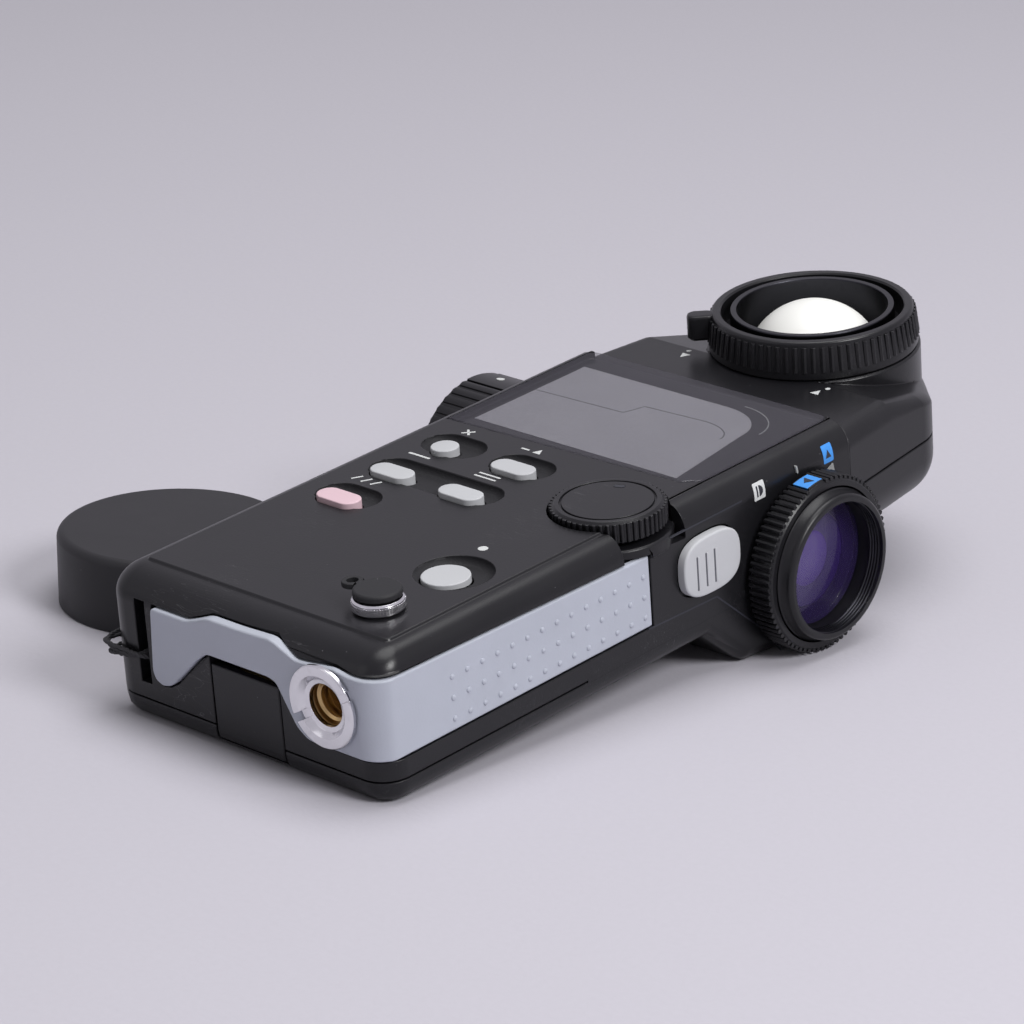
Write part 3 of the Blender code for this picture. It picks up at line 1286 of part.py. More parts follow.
def make_head():
    """Two halves of the head, the hollow shaft it turns on and the nut that holds it."""
    low = head_parting + gap / 2
    centre = (0, ring_y)
    upper = place_mesh("head_shell", head_form(low, head_high + overrun), BLACK,
                       frame="head_frame")
    join(upper, disc(drum_foot_radius, low + gap, head_high, centre, steps=32), "join_drum",
         "head_frame")
    cut(upper, head_hollow(low - overrun, head_high - head_wall), "cut_head_hollow",
        "head_frame")
    cut(upper, disc(drum_foot_radius - head_wall, low - overrun, head_high - head_wall, centre,
                    steps=24), "cut_drum_hollow", "head_frame")
    cut(upper, disc(well_radius + gap, low, head_high + overrun, centre), "cut_well_hole",
        "head_frame")
    cut(upper, disc(shaft_radius + gap, head_start - overrun, head_start + head_wall + overrun,
                    (0, swivel_z), "Y", 24), "cut_head_shaft", "head_frame")
    high = head_parting - gap / 2
    lower = place_mesh("head_cover", head_form(head_low - overrun, high), BLACK,
                       frame="head_frame")
    inset = head_low_fillet_width / 2
    floor = head_low + head_wall
    outline = [(x, max(y, head_start + head_wall)) for x, y in
               head_outline(head_wall + inset)]
    cut(lower, prism(outline, floor, high + overrun), "cut_cover_hollow", "head_frame")
    cut(lower, disc(well_radius + gap, head_parting - overrun, high + overrun, centre, steps=24),
        "cut_cover_well", "head_frame")
    cut(lower, disc(shaft_radius + gap, head_start - overrun, head_start + head_wall + overrun,
                    (0, swivel_z), "Y", 24), "cut_cover_shaft", "head_frame")
    cut(lower, disc(shaft_flange_radius + gap, head_start + head_wall,
                    head_start + head_wall + shaft_flange_thickness + gap * 2,
                    (0, swivel_z), "Y", 24), "cut_cover_flange", "head_frame")
    start = body_length - end_wall - gap - nut_thickness
    back = head_start + head_wall + gap
    stop = back + shaft_flange_thickness
    profile = ((shaft_bore, start), (shaft_radius, start), (shaft_radius, back),
               (shaft_flange_radius, back), (shaft_flange_radius, stop), (shaft_bore, stop))
    place_mesh("swivel_shaft", turned(profile, (0, swivel_z), "Y", 24), STEEL,
               pivot=(0, body_length, swivel_z), frame="head_frame")
    place_mesh("swivel_nut", sleeve(shaft_radius + gap, nut_radius, start, start + nut_thickness,
                                    (0, swivel_z), "Y", 24), STEEL,
               pivot=(0, body_length, swivel_z), frame="head_frame")


def make_light_sensor():
    """Well, sensor and its board, the lifting carrier and the opal dome."""
    centre = (0, ring_y)
    floor = well_floor + well_floor_thickness
    profile = ((sensor_radius + gap, well_floor), (well_radius, well_floor),
               (well_radius, ring_top), (well_bore, ring_top), (well_bore, floor),
               (sensor_radius + gap, floor))
    place_mesh("light_well", turned(profile, centre, steps=28), BLACK, frame="head_frame")
    board = well_floor - gap - sensor_board_thickness
    place_mesh("sensor_board", disc(sensor_board_radius, board, board + sensor_board_thickness,
                                    centre, steps=24), BOARD, frame="head_frame")
    place_mesh("light_sensor", disc(sensor_radius, well_floor, well_floor + sensor_height,
                                    centre, steps=16), INNER_BLACK, frame="head_frame")
    low = dome_centre - gap - carrier_height
    radius = well_bore - gap
    place_mesh("dome_carrier", sleeve(radius - carrier_wall, radius, low, low + carrier_height,
                                      centre, steps=32), INNER_BLACK, pivot=(0, ring_y, low),
               frame="head_frame")
    outer = arc((0, dome_centre), dome_radius, 0, math.pi / 2, 7)
    inner = arc((0, dome_centre), dome_radius - dome_wall, math.pi / 2, 0, 5)
    place_mesh("lumisphere_dome", turned(outer + inner, centre, steps=24), OPAL,
               pivot=(0, ring_y, dome_centre), frame="head_frame")


def make_dome_ring():
    """Toothed ring that raises and lowers the dome, with its lug at the left."""
    centre = (0, ring_y)
    foot = toothed(ring_foot_radius, ring_tooth, ring_teeth, centre)
    rim = toothed(ring_tip_radius, ring_tooth, ring_teeth, centre)
    edge = toothed(ring_tip_radius, ring_tooth, ring_teeth, centre, ring_tooth)
    levels = [(foot, ring_foot), (rim, ring_top - ring_tooth), (edge, ring_top)]
    ring = place_mesh("lumisphere_ring", stack(levels), BLACK, pivot=(0, ring_y, ring_foot),
                      frame="head_frame")
    direction = -math.pi / 2 - lug_angle
    inner = (ring_bore + ring_tip_radius) / 2
    reach = lug_reach - inner
    lug = prism(stadium((0, 0), reach, lug_width), ring_top - lug_height, ring_top)
    middle = inner + reach / 2
    spot = Vector((middle * math.cos(direction), ring_y + middle * math.sin(direction), 0))
    bmesh.ops.transform(lug, matrix=Matrix.Translation(spot)
                        @ Matrix.Rotation(direction, 4, "Z"), verts=lug.verts)
    join(ring, lug, "join_lug", "head_frame")
    ledge = ring_foot + ring_ledge
    bore = turned(((0, ring_foot - overrun), (well_radius + gap, ring_foot - overrun),
                   (well_radius + gap, ledge), (ring_bore, ledge), (ring_bore, ring_top + overrun),
                   (0, ring_top + overrun)), centre, steps=32)
    cut(ring, bore, "cut_ring_bore", "head_frame")


def make_lens_cap():
    """Cap of the objective, lying mouth down beside the meter."""
    bend = arc((cap_radius - cap_edge, cap_height - cap_edge), cap_edge, 0, math.pi / 2, 3)
    inner = cap_radius - cap_wall
    profile = [(inner, 0), (cap_radius, 0)] + bend + [(0, cap_height),
                                                      (0, cap_height - cap_top),
                                                      (inner, cap_height - cap_top)]
    place_mesh("lens_cap", turned(profile, (0, 0), steps=36), RUBBER, frame="cap_frame")


def build():
    """Make every piece."""
    clear_scene()
    Frames.add("rest_frame", (0, 0, 0), rotation=(rest_angle, 0, 0),
               location=(rest_shift[0], rest_shift[1], rest_lift))
    Frames.add("head_frame", (0, body_length, swivel_z), "rest_frame")
    Frames.add("cap_frame", (0, 0, 0),
               location=(cap_place[0] + rest_shift[0], cap_place[1] + rest_shift[1], 0))
    make_front_shell()
    make_rear_shell()
    make_screws()
    make_window_and_display()
    make_boards()
    make_buttons()
    make_jog()
    make_side_buttons()
    make_sync()
    make_grip()
    make_tripod()
    make_battery()
    make_strap()
    make_viewfinder()
    make_objective()
    make_eyepiece()
    make_head()
    make_light_sensor()
    make_dome_ring()
    make_lens_cap()


build()
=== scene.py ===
"""Looks of a hand-held light meter with its lens cap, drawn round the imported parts.

Pieces are drawn in the meter's own axes, with +X towards the objective, +Y towards the head
and +Z out of the display, and are then laid on the table by REST.
"""
import json
import math

import bmesh
import bpy
from bpy.props import FloatProperty, FloatVectorProperty, IntProperty, PointerProperty
from mathutils import Matrix, Vector

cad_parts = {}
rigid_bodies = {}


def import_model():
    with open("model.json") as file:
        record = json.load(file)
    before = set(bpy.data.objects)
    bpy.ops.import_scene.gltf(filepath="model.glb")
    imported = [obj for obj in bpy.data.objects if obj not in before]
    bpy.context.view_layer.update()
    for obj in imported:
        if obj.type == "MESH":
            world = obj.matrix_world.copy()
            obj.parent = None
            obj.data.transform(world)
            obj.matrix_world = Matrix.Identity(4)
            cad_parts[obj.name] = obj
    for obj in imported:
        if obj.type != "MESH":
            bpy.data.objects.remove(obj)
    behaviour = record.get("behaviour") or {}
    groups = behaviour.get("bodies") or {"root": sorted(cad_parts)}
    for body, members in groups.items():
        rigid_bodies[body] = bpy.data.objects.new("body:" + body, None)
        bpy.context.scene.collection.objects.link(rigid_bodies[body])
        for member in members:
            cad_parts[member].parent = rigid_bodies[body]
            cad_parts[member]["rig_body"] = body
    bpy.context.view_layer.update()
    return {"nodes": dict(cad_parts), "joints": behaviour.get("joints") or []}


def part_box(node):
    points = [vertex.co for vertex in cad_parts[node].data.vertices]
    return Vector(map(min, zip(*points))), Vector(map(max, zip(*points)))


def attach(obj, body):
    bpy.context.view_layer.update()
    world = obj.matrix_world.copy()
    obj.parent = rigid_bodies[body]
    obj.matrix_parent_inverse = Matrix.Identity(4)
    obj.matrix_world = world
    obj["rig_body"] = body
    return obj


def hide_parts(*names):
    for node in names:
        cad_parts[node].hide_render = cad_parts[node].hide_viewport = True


bl_info = {
    "name": "Light Meter Looks",
    "version": (1, 0, 0),
    "blender": (4, 5, 0),
    "location": "View3D > Sidebar > Light Meter",
    "description": "Builds the finished surfaces of a hand-held light meter",
    "category": "Object",
}

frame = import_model()
MM = 0.001
gap = 0.3 * MM
overrun = 3.0 * MM
hair = 0.001 * MM
axle_share = 13.0 / 113.2


def resting_place():
    """How the meter lies on the table, read from the axis its head turns on."""
    joint = next(j for j in frame["joints"] if j["name"] == "head_swivel")
    turn = Matrix.Rotation(math.atan2(joint["axis"][2], joint["axis"][1]), 4, "X")
    flat = [turn.inverted() @ v.co for v in frame["nodes"]["front_shell"].data.vertices]
    far = max(point.y for point in flat)
    near = min(point.y for point in flat)
    pivot = Vector((0, far - near, axle_share * (far - near)))
    return Matrix.Translation(Vector(joint["pos_m"]) - turn @ pivot) @ turn


REST = resting_place()


def limits(node):
    """Lowest and highest corner of a part in the meter's own axes."""
    back = REST.inverted()
    points = [back @ v.co for v in frame["nodes"][node].data.vertices]
    return (Vector([min(p[i] for p in points) for i in range(3)]),
            Vector([max(p[i] for p in points) for i in range(3)]))


def middle_of(node):
    """Centre of a part's box in the meter's own axes."""
    low, high = limits(node)
    return (low + high) / 2


# Sizes of the body, from the parts where they show them
shell_low, shell_high = limits("front_shell")
half_width, body_length, body_depth = -shell_low.x, shell_high.y, shell_high.z
parting_low = shell_low.z
body_wall = 2.4 * MM
top_wall = 2.2 * MM
end_corner = 5.0 * MM
top_fillet_width = 3.9 * MM
end_fillet_width = 6.2 * MM
top_fillet_height = 4.7 * MM
panel_step_width = 0.25 * MM
panel_step_height = 0.4 * MM
spring_line = body_depth - panel_step_height - top_fillet_height
fine_steps = 12
round_steps = 96

optic = middle_of("finder_tube")
wheel = middle_of("jog_wheel")
wheel_trim = 0.6 * MM
wheel_radius = limits("jog_wheel")[1].y - wheel.y - wheel_trim
wheel_top = limits("jog_wheel")[1].z
wheel_thickness = 4.0 * MM
dome = middle_of("light_well")
ring_low, ring_high = limits("light_well")
window_low, window_high = limits("display_window")
cap_low, cap_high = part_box("lens_cap")
CAP = Matrix.Translation(((cap_low.x + cap_high.x) / 2, (cap_low.y + cap_high.y) / 2, 0))


def count_of(name, default, description):
    """A whole number that a user may change."""
    return IntProperty(name=name, default=default, min=8, max=160, description=description)


def length_of(name, default, description):
    """A length that a user may change."""
    return FloatProperty(name=name, default=default, unit="LENGTH", precision=5,
                         description=description)


def colour_of(name, default, description):
    """A colour that a user may change."""
    return FloatVectorProperty(name=name, subtype="COLOR", size=4, min=0, max=1,
                               default=(*default, 1), description=description)


class MeterRibs(bpy.types.PropertyGroup):
    """Counts and depths of the knurls and ribs."""
    wheel_teeth: count_of("Wheel Teeth", 52, "Teeth round the setting wheel")
    selector_teeth: count_of("Selector Teeth", 76, "Ridges round the selector ring")
    zoom_ribs: count_of("Zoom Ribs", 40, "Ribs round the zoom ring")
    dome_ridges: count_of("Dome Ring Ridges", 72, "Ridges round the ring of the dome")
    dot_radius: length_of("Dot Radius", 0.5 * MM, "Radius of the dots on the grip")
    dot_rise: length_of("Dot Rise", 0.3 * MM, "How far the dots stand out of the grip")


class MeterColours(bpy.types.PropertyGroup):
    """Colours that a user would change."""
    body: colour_of("Body", (0.0085, 0.0083, 0.0100), "Moulded housing of the meter")
    grip: colour_of("Grip", (0.430, 0.450, 0.520), "Grip with the dots and the arm")
    key: colour_of("Keys", (0.500, 0.505, 0.530), "Grey press buttons")
    mode_key: colour_of("Mode Key", (0.700, 0.500, 0.560), "Pink press button")
    patch: colour_of("Blue Patch", (0.055, 0.300, 0.820), "Blue marks of the selector")
    paint: colour_of("White Paint", (0.640, 0.650, 0.655), "Printed marks")
    opal: colour_of("Dome", (0.880, 0.875, 0.850), "Opal dome over the light sensor")


class MeterStudio(bpy.types.PropertyGroup):
    """Floor and lamps."""
    floor: FloatVectorProperty(name="Floor", subtype="COLOR", size=4, min=0, max=1,
                               default=(0.520, 0.500, 0.560, 1),
                               description="Colour of the floor and of what lies behind it")
    key_power: FloatProperty(name="Key Lamp", default=7.0, min=0, unit="POWER",
                             description="Power of the large lamp at the right")
    top_power: FloatProperty(name="Top Lamp", default=7.0, min=0, unit="POWER",
                             description="Power of the lamp above")
    fill_power: FloatProperty(name="Fill Lamp", default=0.35, min=0, unit="POWER",
                              description="Power of the weak lamp at the left")
    air: FloatProperty(name="Room Light", default=0.26, min=0, max=1, subtype="FACTOR",
                       description="Level of the light that comes from all sides")


# Expressions on node sockets


class Signal:
    """A socket that can be used in Python sums; each sum adds its Math nodes."""

    def __init__(self, owner, socket):
        self.owner = owner
        self.socket = socket

    def math(self, operation, *values):
        return self.owner.node("ShaderNodeMath", {"operation": operation},
                               dict(enumerate(values)), 0)

    def __add__(self, other):
        return self.math("ADD", self, other)

    def __radd__(self, other):
        return self.math("ADD", other, self)

    def __sub__(self, other):
        return self.math("SUBTRACT", self, other)

    def __rsub__(self, other):
        return self.math("SUBTRACT", other, self)

    def __mul__(self, other):
        return self.math("MULTIPLY", self, other)

    def __rmul__(self, other):
        return self.math("MULTIPLY", other, self)

    def __truediv__(self, other):
        return self.math("DIVIDE", self, other)

    def __abs__(self):
        return self.math("ABSOLUTE", self)

    def __lt__(self, other):
        return self.math("LESS_THAN", self, other)

    def __gt__(self, other):
        return self.math("GREATER_THAN", self, other)

    def ease(self, low, high):
        """0 below low, 1 above high and a smooth rise between them."""
        return self.owner.node("ShaderNodeMapRange", {"interpolation_type": "SMOOTHSTEP"},
                               {"Value": self, "From Min": low, "From Max": high}, 0)


class Tree:
    """Makes nodes in one tree."""
    tree = None

    def node(self, kind, settings=None, sockets=None, out=0):
        """Add a node: its settings first, then the values and links of its sockets."""
        made = self.tree.nodes.new(kind)
        for name, value in (settings or {}).items():
            setattr(made, name, value)
        for name, value in (sockets or {}).items():
            socket = made.inputs[name]
            if isinstance(value, Signal):
                self.tree.links.new(value.socket, socket)
            else:
                socket.default_value = value
        if isinstance(out, tuple):
            return [Signal(self, made.outputs[name]) for name in out]
        return Signal(self, made.outputs[out])


class Finish(Tree):
    """One painted or moulded surface."""
    made = {}

    def __init__(self, name):
        self.material = bpy.data.materials.new("finish_" + name)
        self.material.use_nodes = True
        self.tree = self.material.node_tree
        self.shader = self.tree.nodes["Principled BSDF"]
        Finish.made[name] = self.material

    def place(self, stretch=(1, 1, 1), turn=(0, 0, 0), shift=(0, 0, 0)):
        """Object coordinates, stretched and turned."""
        where = self.node("ShaderNodeTexCoord", out="Object")
        return self.node("ShaderNodeMapping", None, {"Vector": where, "Location": shift,
                                                     "Rotation": turn, "Scale": stretch})

    def noise(self, size, detail=2.0, stretch=(1, 1, 1), turn=(0, 0, 0)):
        """Cloudy value from 0 to 1, with spots of about the given size."""
        return self.node("ShaderNodeTexNoise", None,
                         {"Vector": self.place(stretch, turn), "Scale": 1 / size,
                          "Detail": detail})

    def cells(self, size, stretch=(1, 1, 1)):
        """Distance to the nearest of scattered points and a random value for each."""
        away, colour = self.node("ShaderNodeTexVoronoi", None,
                                 {"Vector": self.place(stretch), "Scale": 1 / size},
                                 out=("Distance", "Color"))
        return away, self.node("ShaderNodeSeparateColor", None, {"Color": colour}, out="Red")

    def specks(self, spacing, radius, chance):
        """Mask of scattered dust, one speck in a share of the cells."""
        away, luck = self.cells(spacing)
        size = radius / spacing
        return (1 - away.ease(size / 2, size)) * (luck > 1 - chance)

    def scratches(self, size, width, turn):
        """Mask of thin lines that come and go."""
        lines = self.noise(size, 1.0, (1, 14, 4), turn)
        where = self.noise(size * 3, 1.0).ease(0.55, 0.66)
        return (1 - abs(lines - 0.5).ease(0, width)) * where

    def blend(self, mask, low, high):
        """Colour from low to high by a mask."""
        return self.node("ShaderNodeMix", {"data_type": "RGBA"}, {0: mask, 6: low, 7: high}, 2)

    def bump(self, height, depth, strength=1.0):
        """Normal of a height from 0 to 1 that stands a depth high."""
        return self.node("ShaderNodeBump", None, {"Strength": strength, "Distance": depth,
                                                  "Height": height}, "Normal")

    def dress(self, **sockets):
        """Set the sockets of the shader, by their names with underscores."""
        for name, value in sockets.items():
            socket = self.shader.inputs[name.replace("_", " ").title().replace("Ior", "IOR")]
            if isinstance(value, Signal):
                self.tree.links.new(value.socket, socket)
            else:
                socket.default_value = value
        return self.material


def shade(colour, factor):
    """A colour made lighter or darker."""
    return tuple(min(c * factor, 1) for c in colour[:3]) + (1,)


dust_colour = (0.42, 0.41, 0.44, 1)


def moulded(name, colour, roughness, grain=0.35 * MM, depth=0.012 * MM, dust=0.35, marks=0.3,
            variation=0.18, shine=0.34):
    """Moulded plastic or rubber: fine grain, cloudy sheen, dust and light scratches."""
    f = Finish(name)
    cloud = f.noise(14 * MM, 3.0)
    fine = f.noise(grain, 2.0)
    specks = f.specks(2.1 * MM, 0.11 * MM, 0.16)
    motes = f.specks(0.9 * MM, 0.05 * MM, 0.12)
    lines = f.scratches(7 * MM, 0.006, (0.3, 0.5, 0.9))
    dirt = (specks * 0.8 + motes * 0.6) * dust
    base = f.blend(cloud, shade(colour, 1 - variation), shade(colour, 1 + variation))
    base = f.blend(lines * marks * 0.3, base, dust_colour)
    base = f.blend(dirt, base, dust_colour)
    rough = roughness + (cloud - 0.5) * 0.16 + lines * marks * 0.2 + dirt * 0.3
    return f.dress(base_color=base, roughness=rough, specular_ior_level=shine,
                   normal=f.bump(fine + specks * 0.6, depth))


def metal(name, colour, roughness, stretch, depth=0.004 * MM, spots=0.1):
    """Turned or rolled metal with fine tool marks and dull spots."""
    f = Finish(name)
    cloud = f.noise(3.5 * MM, 3.0)
    marks = f.noise(0.5 * MM, 2.0, stretch)
    dull = f.noise(1.3 * MM, 2.0).ease(0.58, 0.72) * spots
    base = f.blend(cloud, shade(colour, 0.86), shade(colour, 1.08))
    base = f.blend(dull, base, shade(colour, 0.4))
    return f.dress(base_color=base, metallic=1.0,
                   roughness=roughness + (cloud - 0.5) * 0.12 + dull * 0.4,
                   normal=f.bump(marks, depth))


def glossy(name, colour, roughness, alpha=1.0, ior=1.5, coat=0.0, tint=None):
    """Glass or clear plastic with faint wipe marks and dust."""
    f = Finish(name)
    wipe = f.noise(9 * MM, 4.0, (1, 3, 1), (0, 0, 0.6))
    specks = f.specks(2.4 * MM, 0.09 * MM, 0.14)
    base = f.blend(wipe, shade(colour, 0.8), shade(tint or colour, 1.2))
    base = f.blend(specks * 0.5, base, dust_colour)
    material = f.dress(base_color=base, ior=ior, coat_weight=coat,
                       roughness=roughness + wipe * 0.05 + specks * 0.3)
    if alpha < 1:
        f.dress(alpha=alpha + specks * (1 - alpha) * 0.6 + wipe * 0.04)
    return material


def painted(name, colour):
    """Printed mark whose ink is a little uneven."""
    f = Finish(name)
    ink = f.noise(0.8 * MM, 2.0)
    return f.dress(base_color=f.blend(ink, shade(colour, 0.84), shade(colour, 1.06)),
                   roughness=0.45 + ink * 0.12, normal=f.bump(ink, 0.01 * MM))


def opal_finish(colour):
    """Opal plastic of the dome: even and soft, with a few motes."""
    f = Finish("opal_dome")
    cloud = f.noise(6 * MM, 2.0)
    motes = f.specks(3.2 * MM, 0.08 * MM, 0.12)
    base = f.blend(cloud, shade(colour, 0.965), shade(colour, 1.02))
    base = f.blend(motes * 0.4, base, (0.25, 0.24, 0.23, 1))
    return f.dress(base_color=base, roughness=0.42 + cloud * 0.06,
                   normal=f.bump(f.noise(0.5 * MM), 0.004 * MM))


def display_finish():
    """Liquid crystal cell: pale silver grey with a faint dot grid."""
    f = Finish("display_grey")
    cloud = f.noise(22 * MM, 2.0)
    away, luck = f.cells(0.42 * MM)
    base = f.blend(cloud, (0.74, 0.725, 0.80, 1), (0.86, 0.84, 0.92, 1))
    base = f.blend(luck * 0.12, base, (0.30, 0.31, 0.32, 1))
    return f.dress(base_color=base, metallic=0.1, roughness=0.34 + luck * 0.05,
                   normal=f.bump(away, 0.003 * MM))


def board_finish():
    """Circuit board: green lacquer over straight copper tracks."""
    f = Finish("board_green")
    tracks = f.node("ShaderNodeTexBrick", {"offset": 0.5},
                    {"Vector": f.place(), "Scale": 1 / (6 * MM), "Mortar Size": 0.06}, "Fac")
    cloud = f.noise(10 * MM)
    base = f.blend(cloud, (0.012, 0.085, 0.035, 1), (0.02, 0.13, 0.055, 1))
    base = f.blend(tracks * 0.6, base, (0.05, 0.24, 0.09, 1))
    return f.dress(base_color=base, roughness=0.35 + cloud * 0.15,
                   normal=f.bump(tracks, 0.03 * MM))


def cell_finish():
    """Printed wrap of the battery cell: dark with a lighter band near the nub."""
    f = Finish("cell_wrap")
    along = f.node("ShaderNodeSeparateXYZ", None, {"Vector": f.place()}, "Y")
    near = limits("battery_cell")[0].y + (REST @ Vector((0, 0, 0))).y
    band = (along - near).ease(12 * MM, 12.3 * MM)
    cloud = f.noise(5 * MM)
    base = f.blend(band, (0.42, 0.30, 0.12, 1), (0.035, 0.036, 0.045, 1))
    base = f.blend(cloud * 0.2, base, (0.2, 0.2, 0.2, 1))
    return f.dress(base_color=base, metallic=0.4, roughness=0.3 + cloud * 0.15)


def cord_finish():
    """Braided black cord: strands that catch the light along the lay."""
    f = Finish("braided_cord")
    strand = f.noise(0.28 * MM, 2.0, (1, 2.4, 1), (0.4, 0.7, 0.3))
    base = f.blend(strand, (0.008, 0.008, 0.009, 1), (0.045, 0.044, 0.05, 1))
    return f.dress(base_color=base, roughness=0.62 + strand * 0.2,
                   normal=f.bump(strand, 0.05 * MM))


def make_finishes(colours):
    """Make every finish once."""
    body = tuple(colours.body)
    moulded("black_plastic", body, 0.31, marks=0.45, dust=0.45)
    moulded("grained_plastic", shade(body, 1.1), 0.66, 0.4 * MM, 0.07 * MM, 0.25)
    moulded("inner_black", (0.010, 0.010, 0.011, 1), 0.62, dust=0.15)
    moulded("soft_rubber", (0.014, 0.014, 0.016, 1), 0.6, 0.3 * MM, 0.03 * MM, 0.5)
    moulded("cap_plastic", (0.014, 0.0135, 0.016, 1), 0.5, 0.3 * MM, 0.02 * MM, 0.45)
    moulded("grip_grey", tuple(colours.grip), 0.5, 0.4 * MM, 0.02 * MM, 0.12, 0.35, 0.07)
    moulded("key_grey", tuple(colours.key), 0.5, 0.35 * MM, 0.012 * MM, 0.15, 0.2, 0.05)
    moulded("key_pink", tuple(colours.mode_key), 0.5, 0.35 * MM, 0.012 * MM, 0.15, 0.2, 0.05)
    metal("chrome", (0.78, 0.775, 0.80), 0.16, (1, 1, 6))
    metal("brass", (0.52, 0.36, 0.17), 0.3, (6, 1, 1))
    metal("spring_steel", (0.50, 0.50, 0.52), 0.32, (1, 5, 1))
    metal("satin_black", (0.045, 0.045, 0.052), 0.3, (1, 1, 5))
    glossy("smoked_window", (0.034, 0.031, 0.046), 0.06, 0.32, 2.0)
    glossy("coated_glass", (0.060, 0.034, 0.18), 0.03, coat=0.6, tint=(0.20, 0.10, 0.42))
    # Violet lens finishes: the front lens's violet is partly its coating and partly painted
    # reflection of violet surroundings; the violet of its mount and of the filter glass is painted
    # reflection.
    glossy("lens_violet", (0.075, 0.040, 0.25), 0.12, coat=0.5, tint=(0.12, 0.06, 0.36))
    glossy("lens_shade", (0.030, 0.016, 0.10), 0.3)
    glossy("filter_glass", (0.050, 0.028, 0.15), 0.03, 0.2, 2.1)
    painted("white_paint", tuple(colours.paint))
    painted("pale_paint", shade(tuple(colours.paint), 0.5))
    painted("blue_paint", tuple(colours.patch))
    painted("dark_ink", (0.02, 0.021, 0.03, 1))
    # Grey ink: the printed tracks of the display, and the painted shadow strips beside the ribs of
    # the measuring button.
    painted("grey_ink", (0.10, 0.10, 0.12, 1))
    opal_finish(tuple(colours.opal))
    display_finish()
    board_finish()
    cell_finish()
    cord_finish()


# Geometry Nodes


class Recipe(Tree):
    """A Geometry Nodes tree with named sizes."""

    def __init__(self, name, sizes, shaped=False):
        self.tree = bpy.data.node_groups.new(name, "GeometryNodeTree")
        face = self.tree.interface
        face.new_socket("Geometry", in_out="OUTPUT", socket_type="NodeSocketGeometry")
        if shaped:
            face.new_socket("Geometry", in_out="INPUT", socket_type="NodeSocketGeometry")
        for label, kind in sizes.items():
            face.new_socket(label, in_out="INPUT", socket_type="NodeSocket" + kind)
        entry = self.tree.nodes.new("NodeGroupInput")
        self.size = {s.name: Signal(self, s) for s in entry.outputs if s.name}

    def finish(self, geometry):
        """End the tree: real geometry with its material."""
        real = self.node("GeometryNodeRealizeInstances", None, {"Geometry": geometry})
        done = self.node("GeometryNodeSetMaterial", None,
                         {"Geometry": real, "Material": self.size["Material"]})
        leave = self.tree.nodes.new("NodeGroupOutput")
        self.tree.links.new(done.socket, leave.inputs["Geometry"])
        return self

    def vector(self, x, y, z):
        return self.node("ShaderNodeCombineXYZ", None, {"X": x, "Y": y, "Z": z})

    def grow(self, finish, values, place=None, points=()):
        """Run the tree with these sizes and return a plain mesh."""
        mesh = bpy.data.meshes.new("seed")
        mesh.from_pydata([tuple(p) for p in points], [], [])
        holder = bpy.data.objects.new("seed", mesh)
        step = holder.modifiers.new("recipe", "NODES")
        step.node_group = self.tree
        values = dict(values, Material=Finish.made[finish])
        for item in self.tree.interface.items_tree:
            if item.in_out == "INPUT" and item.name in values:
                step[item.identifier] = values[item.name]
        bpy.context.scene.collection.objects.link(holder)
        grown = bpy.data.meshes.new_from_object(
            holder.evaluated_get(bpy.context.evaluated_depsgraph_get()))
        bpy.data.objects.remove(holder)
        if place is not None:
            grown.transform(place)
        return grown


def ring_recipe():
    """Ribs that stand out of a ring, with a smooth pad where some are left out."""
    r = Recipe("ribs_round_a_ring", {"Count": "Int", "Skip": "Int", "Sides": "Int",
                                     "Radius": "Float", "Rise": "Float", "Width": "Float",
                                     "Length": "Float", "Material": "Material"})
    circle = r.node("GeometryNodeMeshCircle", None, {"Vertices": r.size["Count"],
                                                     "Radius": r.size["Radius"]})
    rib = r.node("GeometryNodeMeshCylinder", None, {"Vertices": r.size["Sides"], "Radius": 0.5,
                                                    "Depth": 1.0}, "Mesh")
    shaped = r.node("GeometryNodeTransform", None, {
        "Geometry": rib, "Scale": r.vector(r.size["Rise"] * 2, r.size["Width"],
                                           r.size["Length"])})
    outwards = r.node("FunctionNodeAlignRotationToVector", {"axis": "X"},
                      {"Vector": r.node("GeometryNodeInputPosition")})
    index = r.node("GeometryNodeInputIndex")
    ribs = r.node("GeometryNodeInstanceOnPoints", None, {
        "Points": circle, "Instance": shaped, "Rotation": outwards,
        "Selection": r.node("FunctionNodeCompare", {"data_type": "INT",
                                                    "operation": "GREATER_EQUAL"},
                            {2: index, 3: r.size["Skip"]})})
    return r.finish(ribs)


def dots_recipe():
    """Rows of round dots on a flat."""
    r = Recipe("dots_in_rows", {"Columns": "Int", "Rows": "Int", "Column Pitch": "Float",
                                "Row Pitch": "Float", "Radius": "Float", "Rise": "Float",
                                "Material": "Material"})
    wide = (r.size["Columns"] - 1) * r.size["Column Pitch"]
    tall = (r.size["Rows"] - 1) * r.size["Row Pitch"]
    grid = r.node("GeometryNodeMeshGrid", None, {
        "Size X": wide, "Size Y": tall, "Vertices X": r.size["Columns"],
        "Vertices Y": r.size["Rows"]}, "Mesh")
    ball = r.node("GeometryNodeMeshUVSphere", None, {"Segments": 14, "Rings": 8,
                                                     "Radius": 1.0}, "Mesh")
    dots = r.node("GeometryNodeInstanceOnPoints", None, {
        "Points": grid, "Instance": ball,
        "Scale": r.vector(r.size["Radius"], r.size["Radius"], r.size["Rise"])})
    return r.finish(dots)


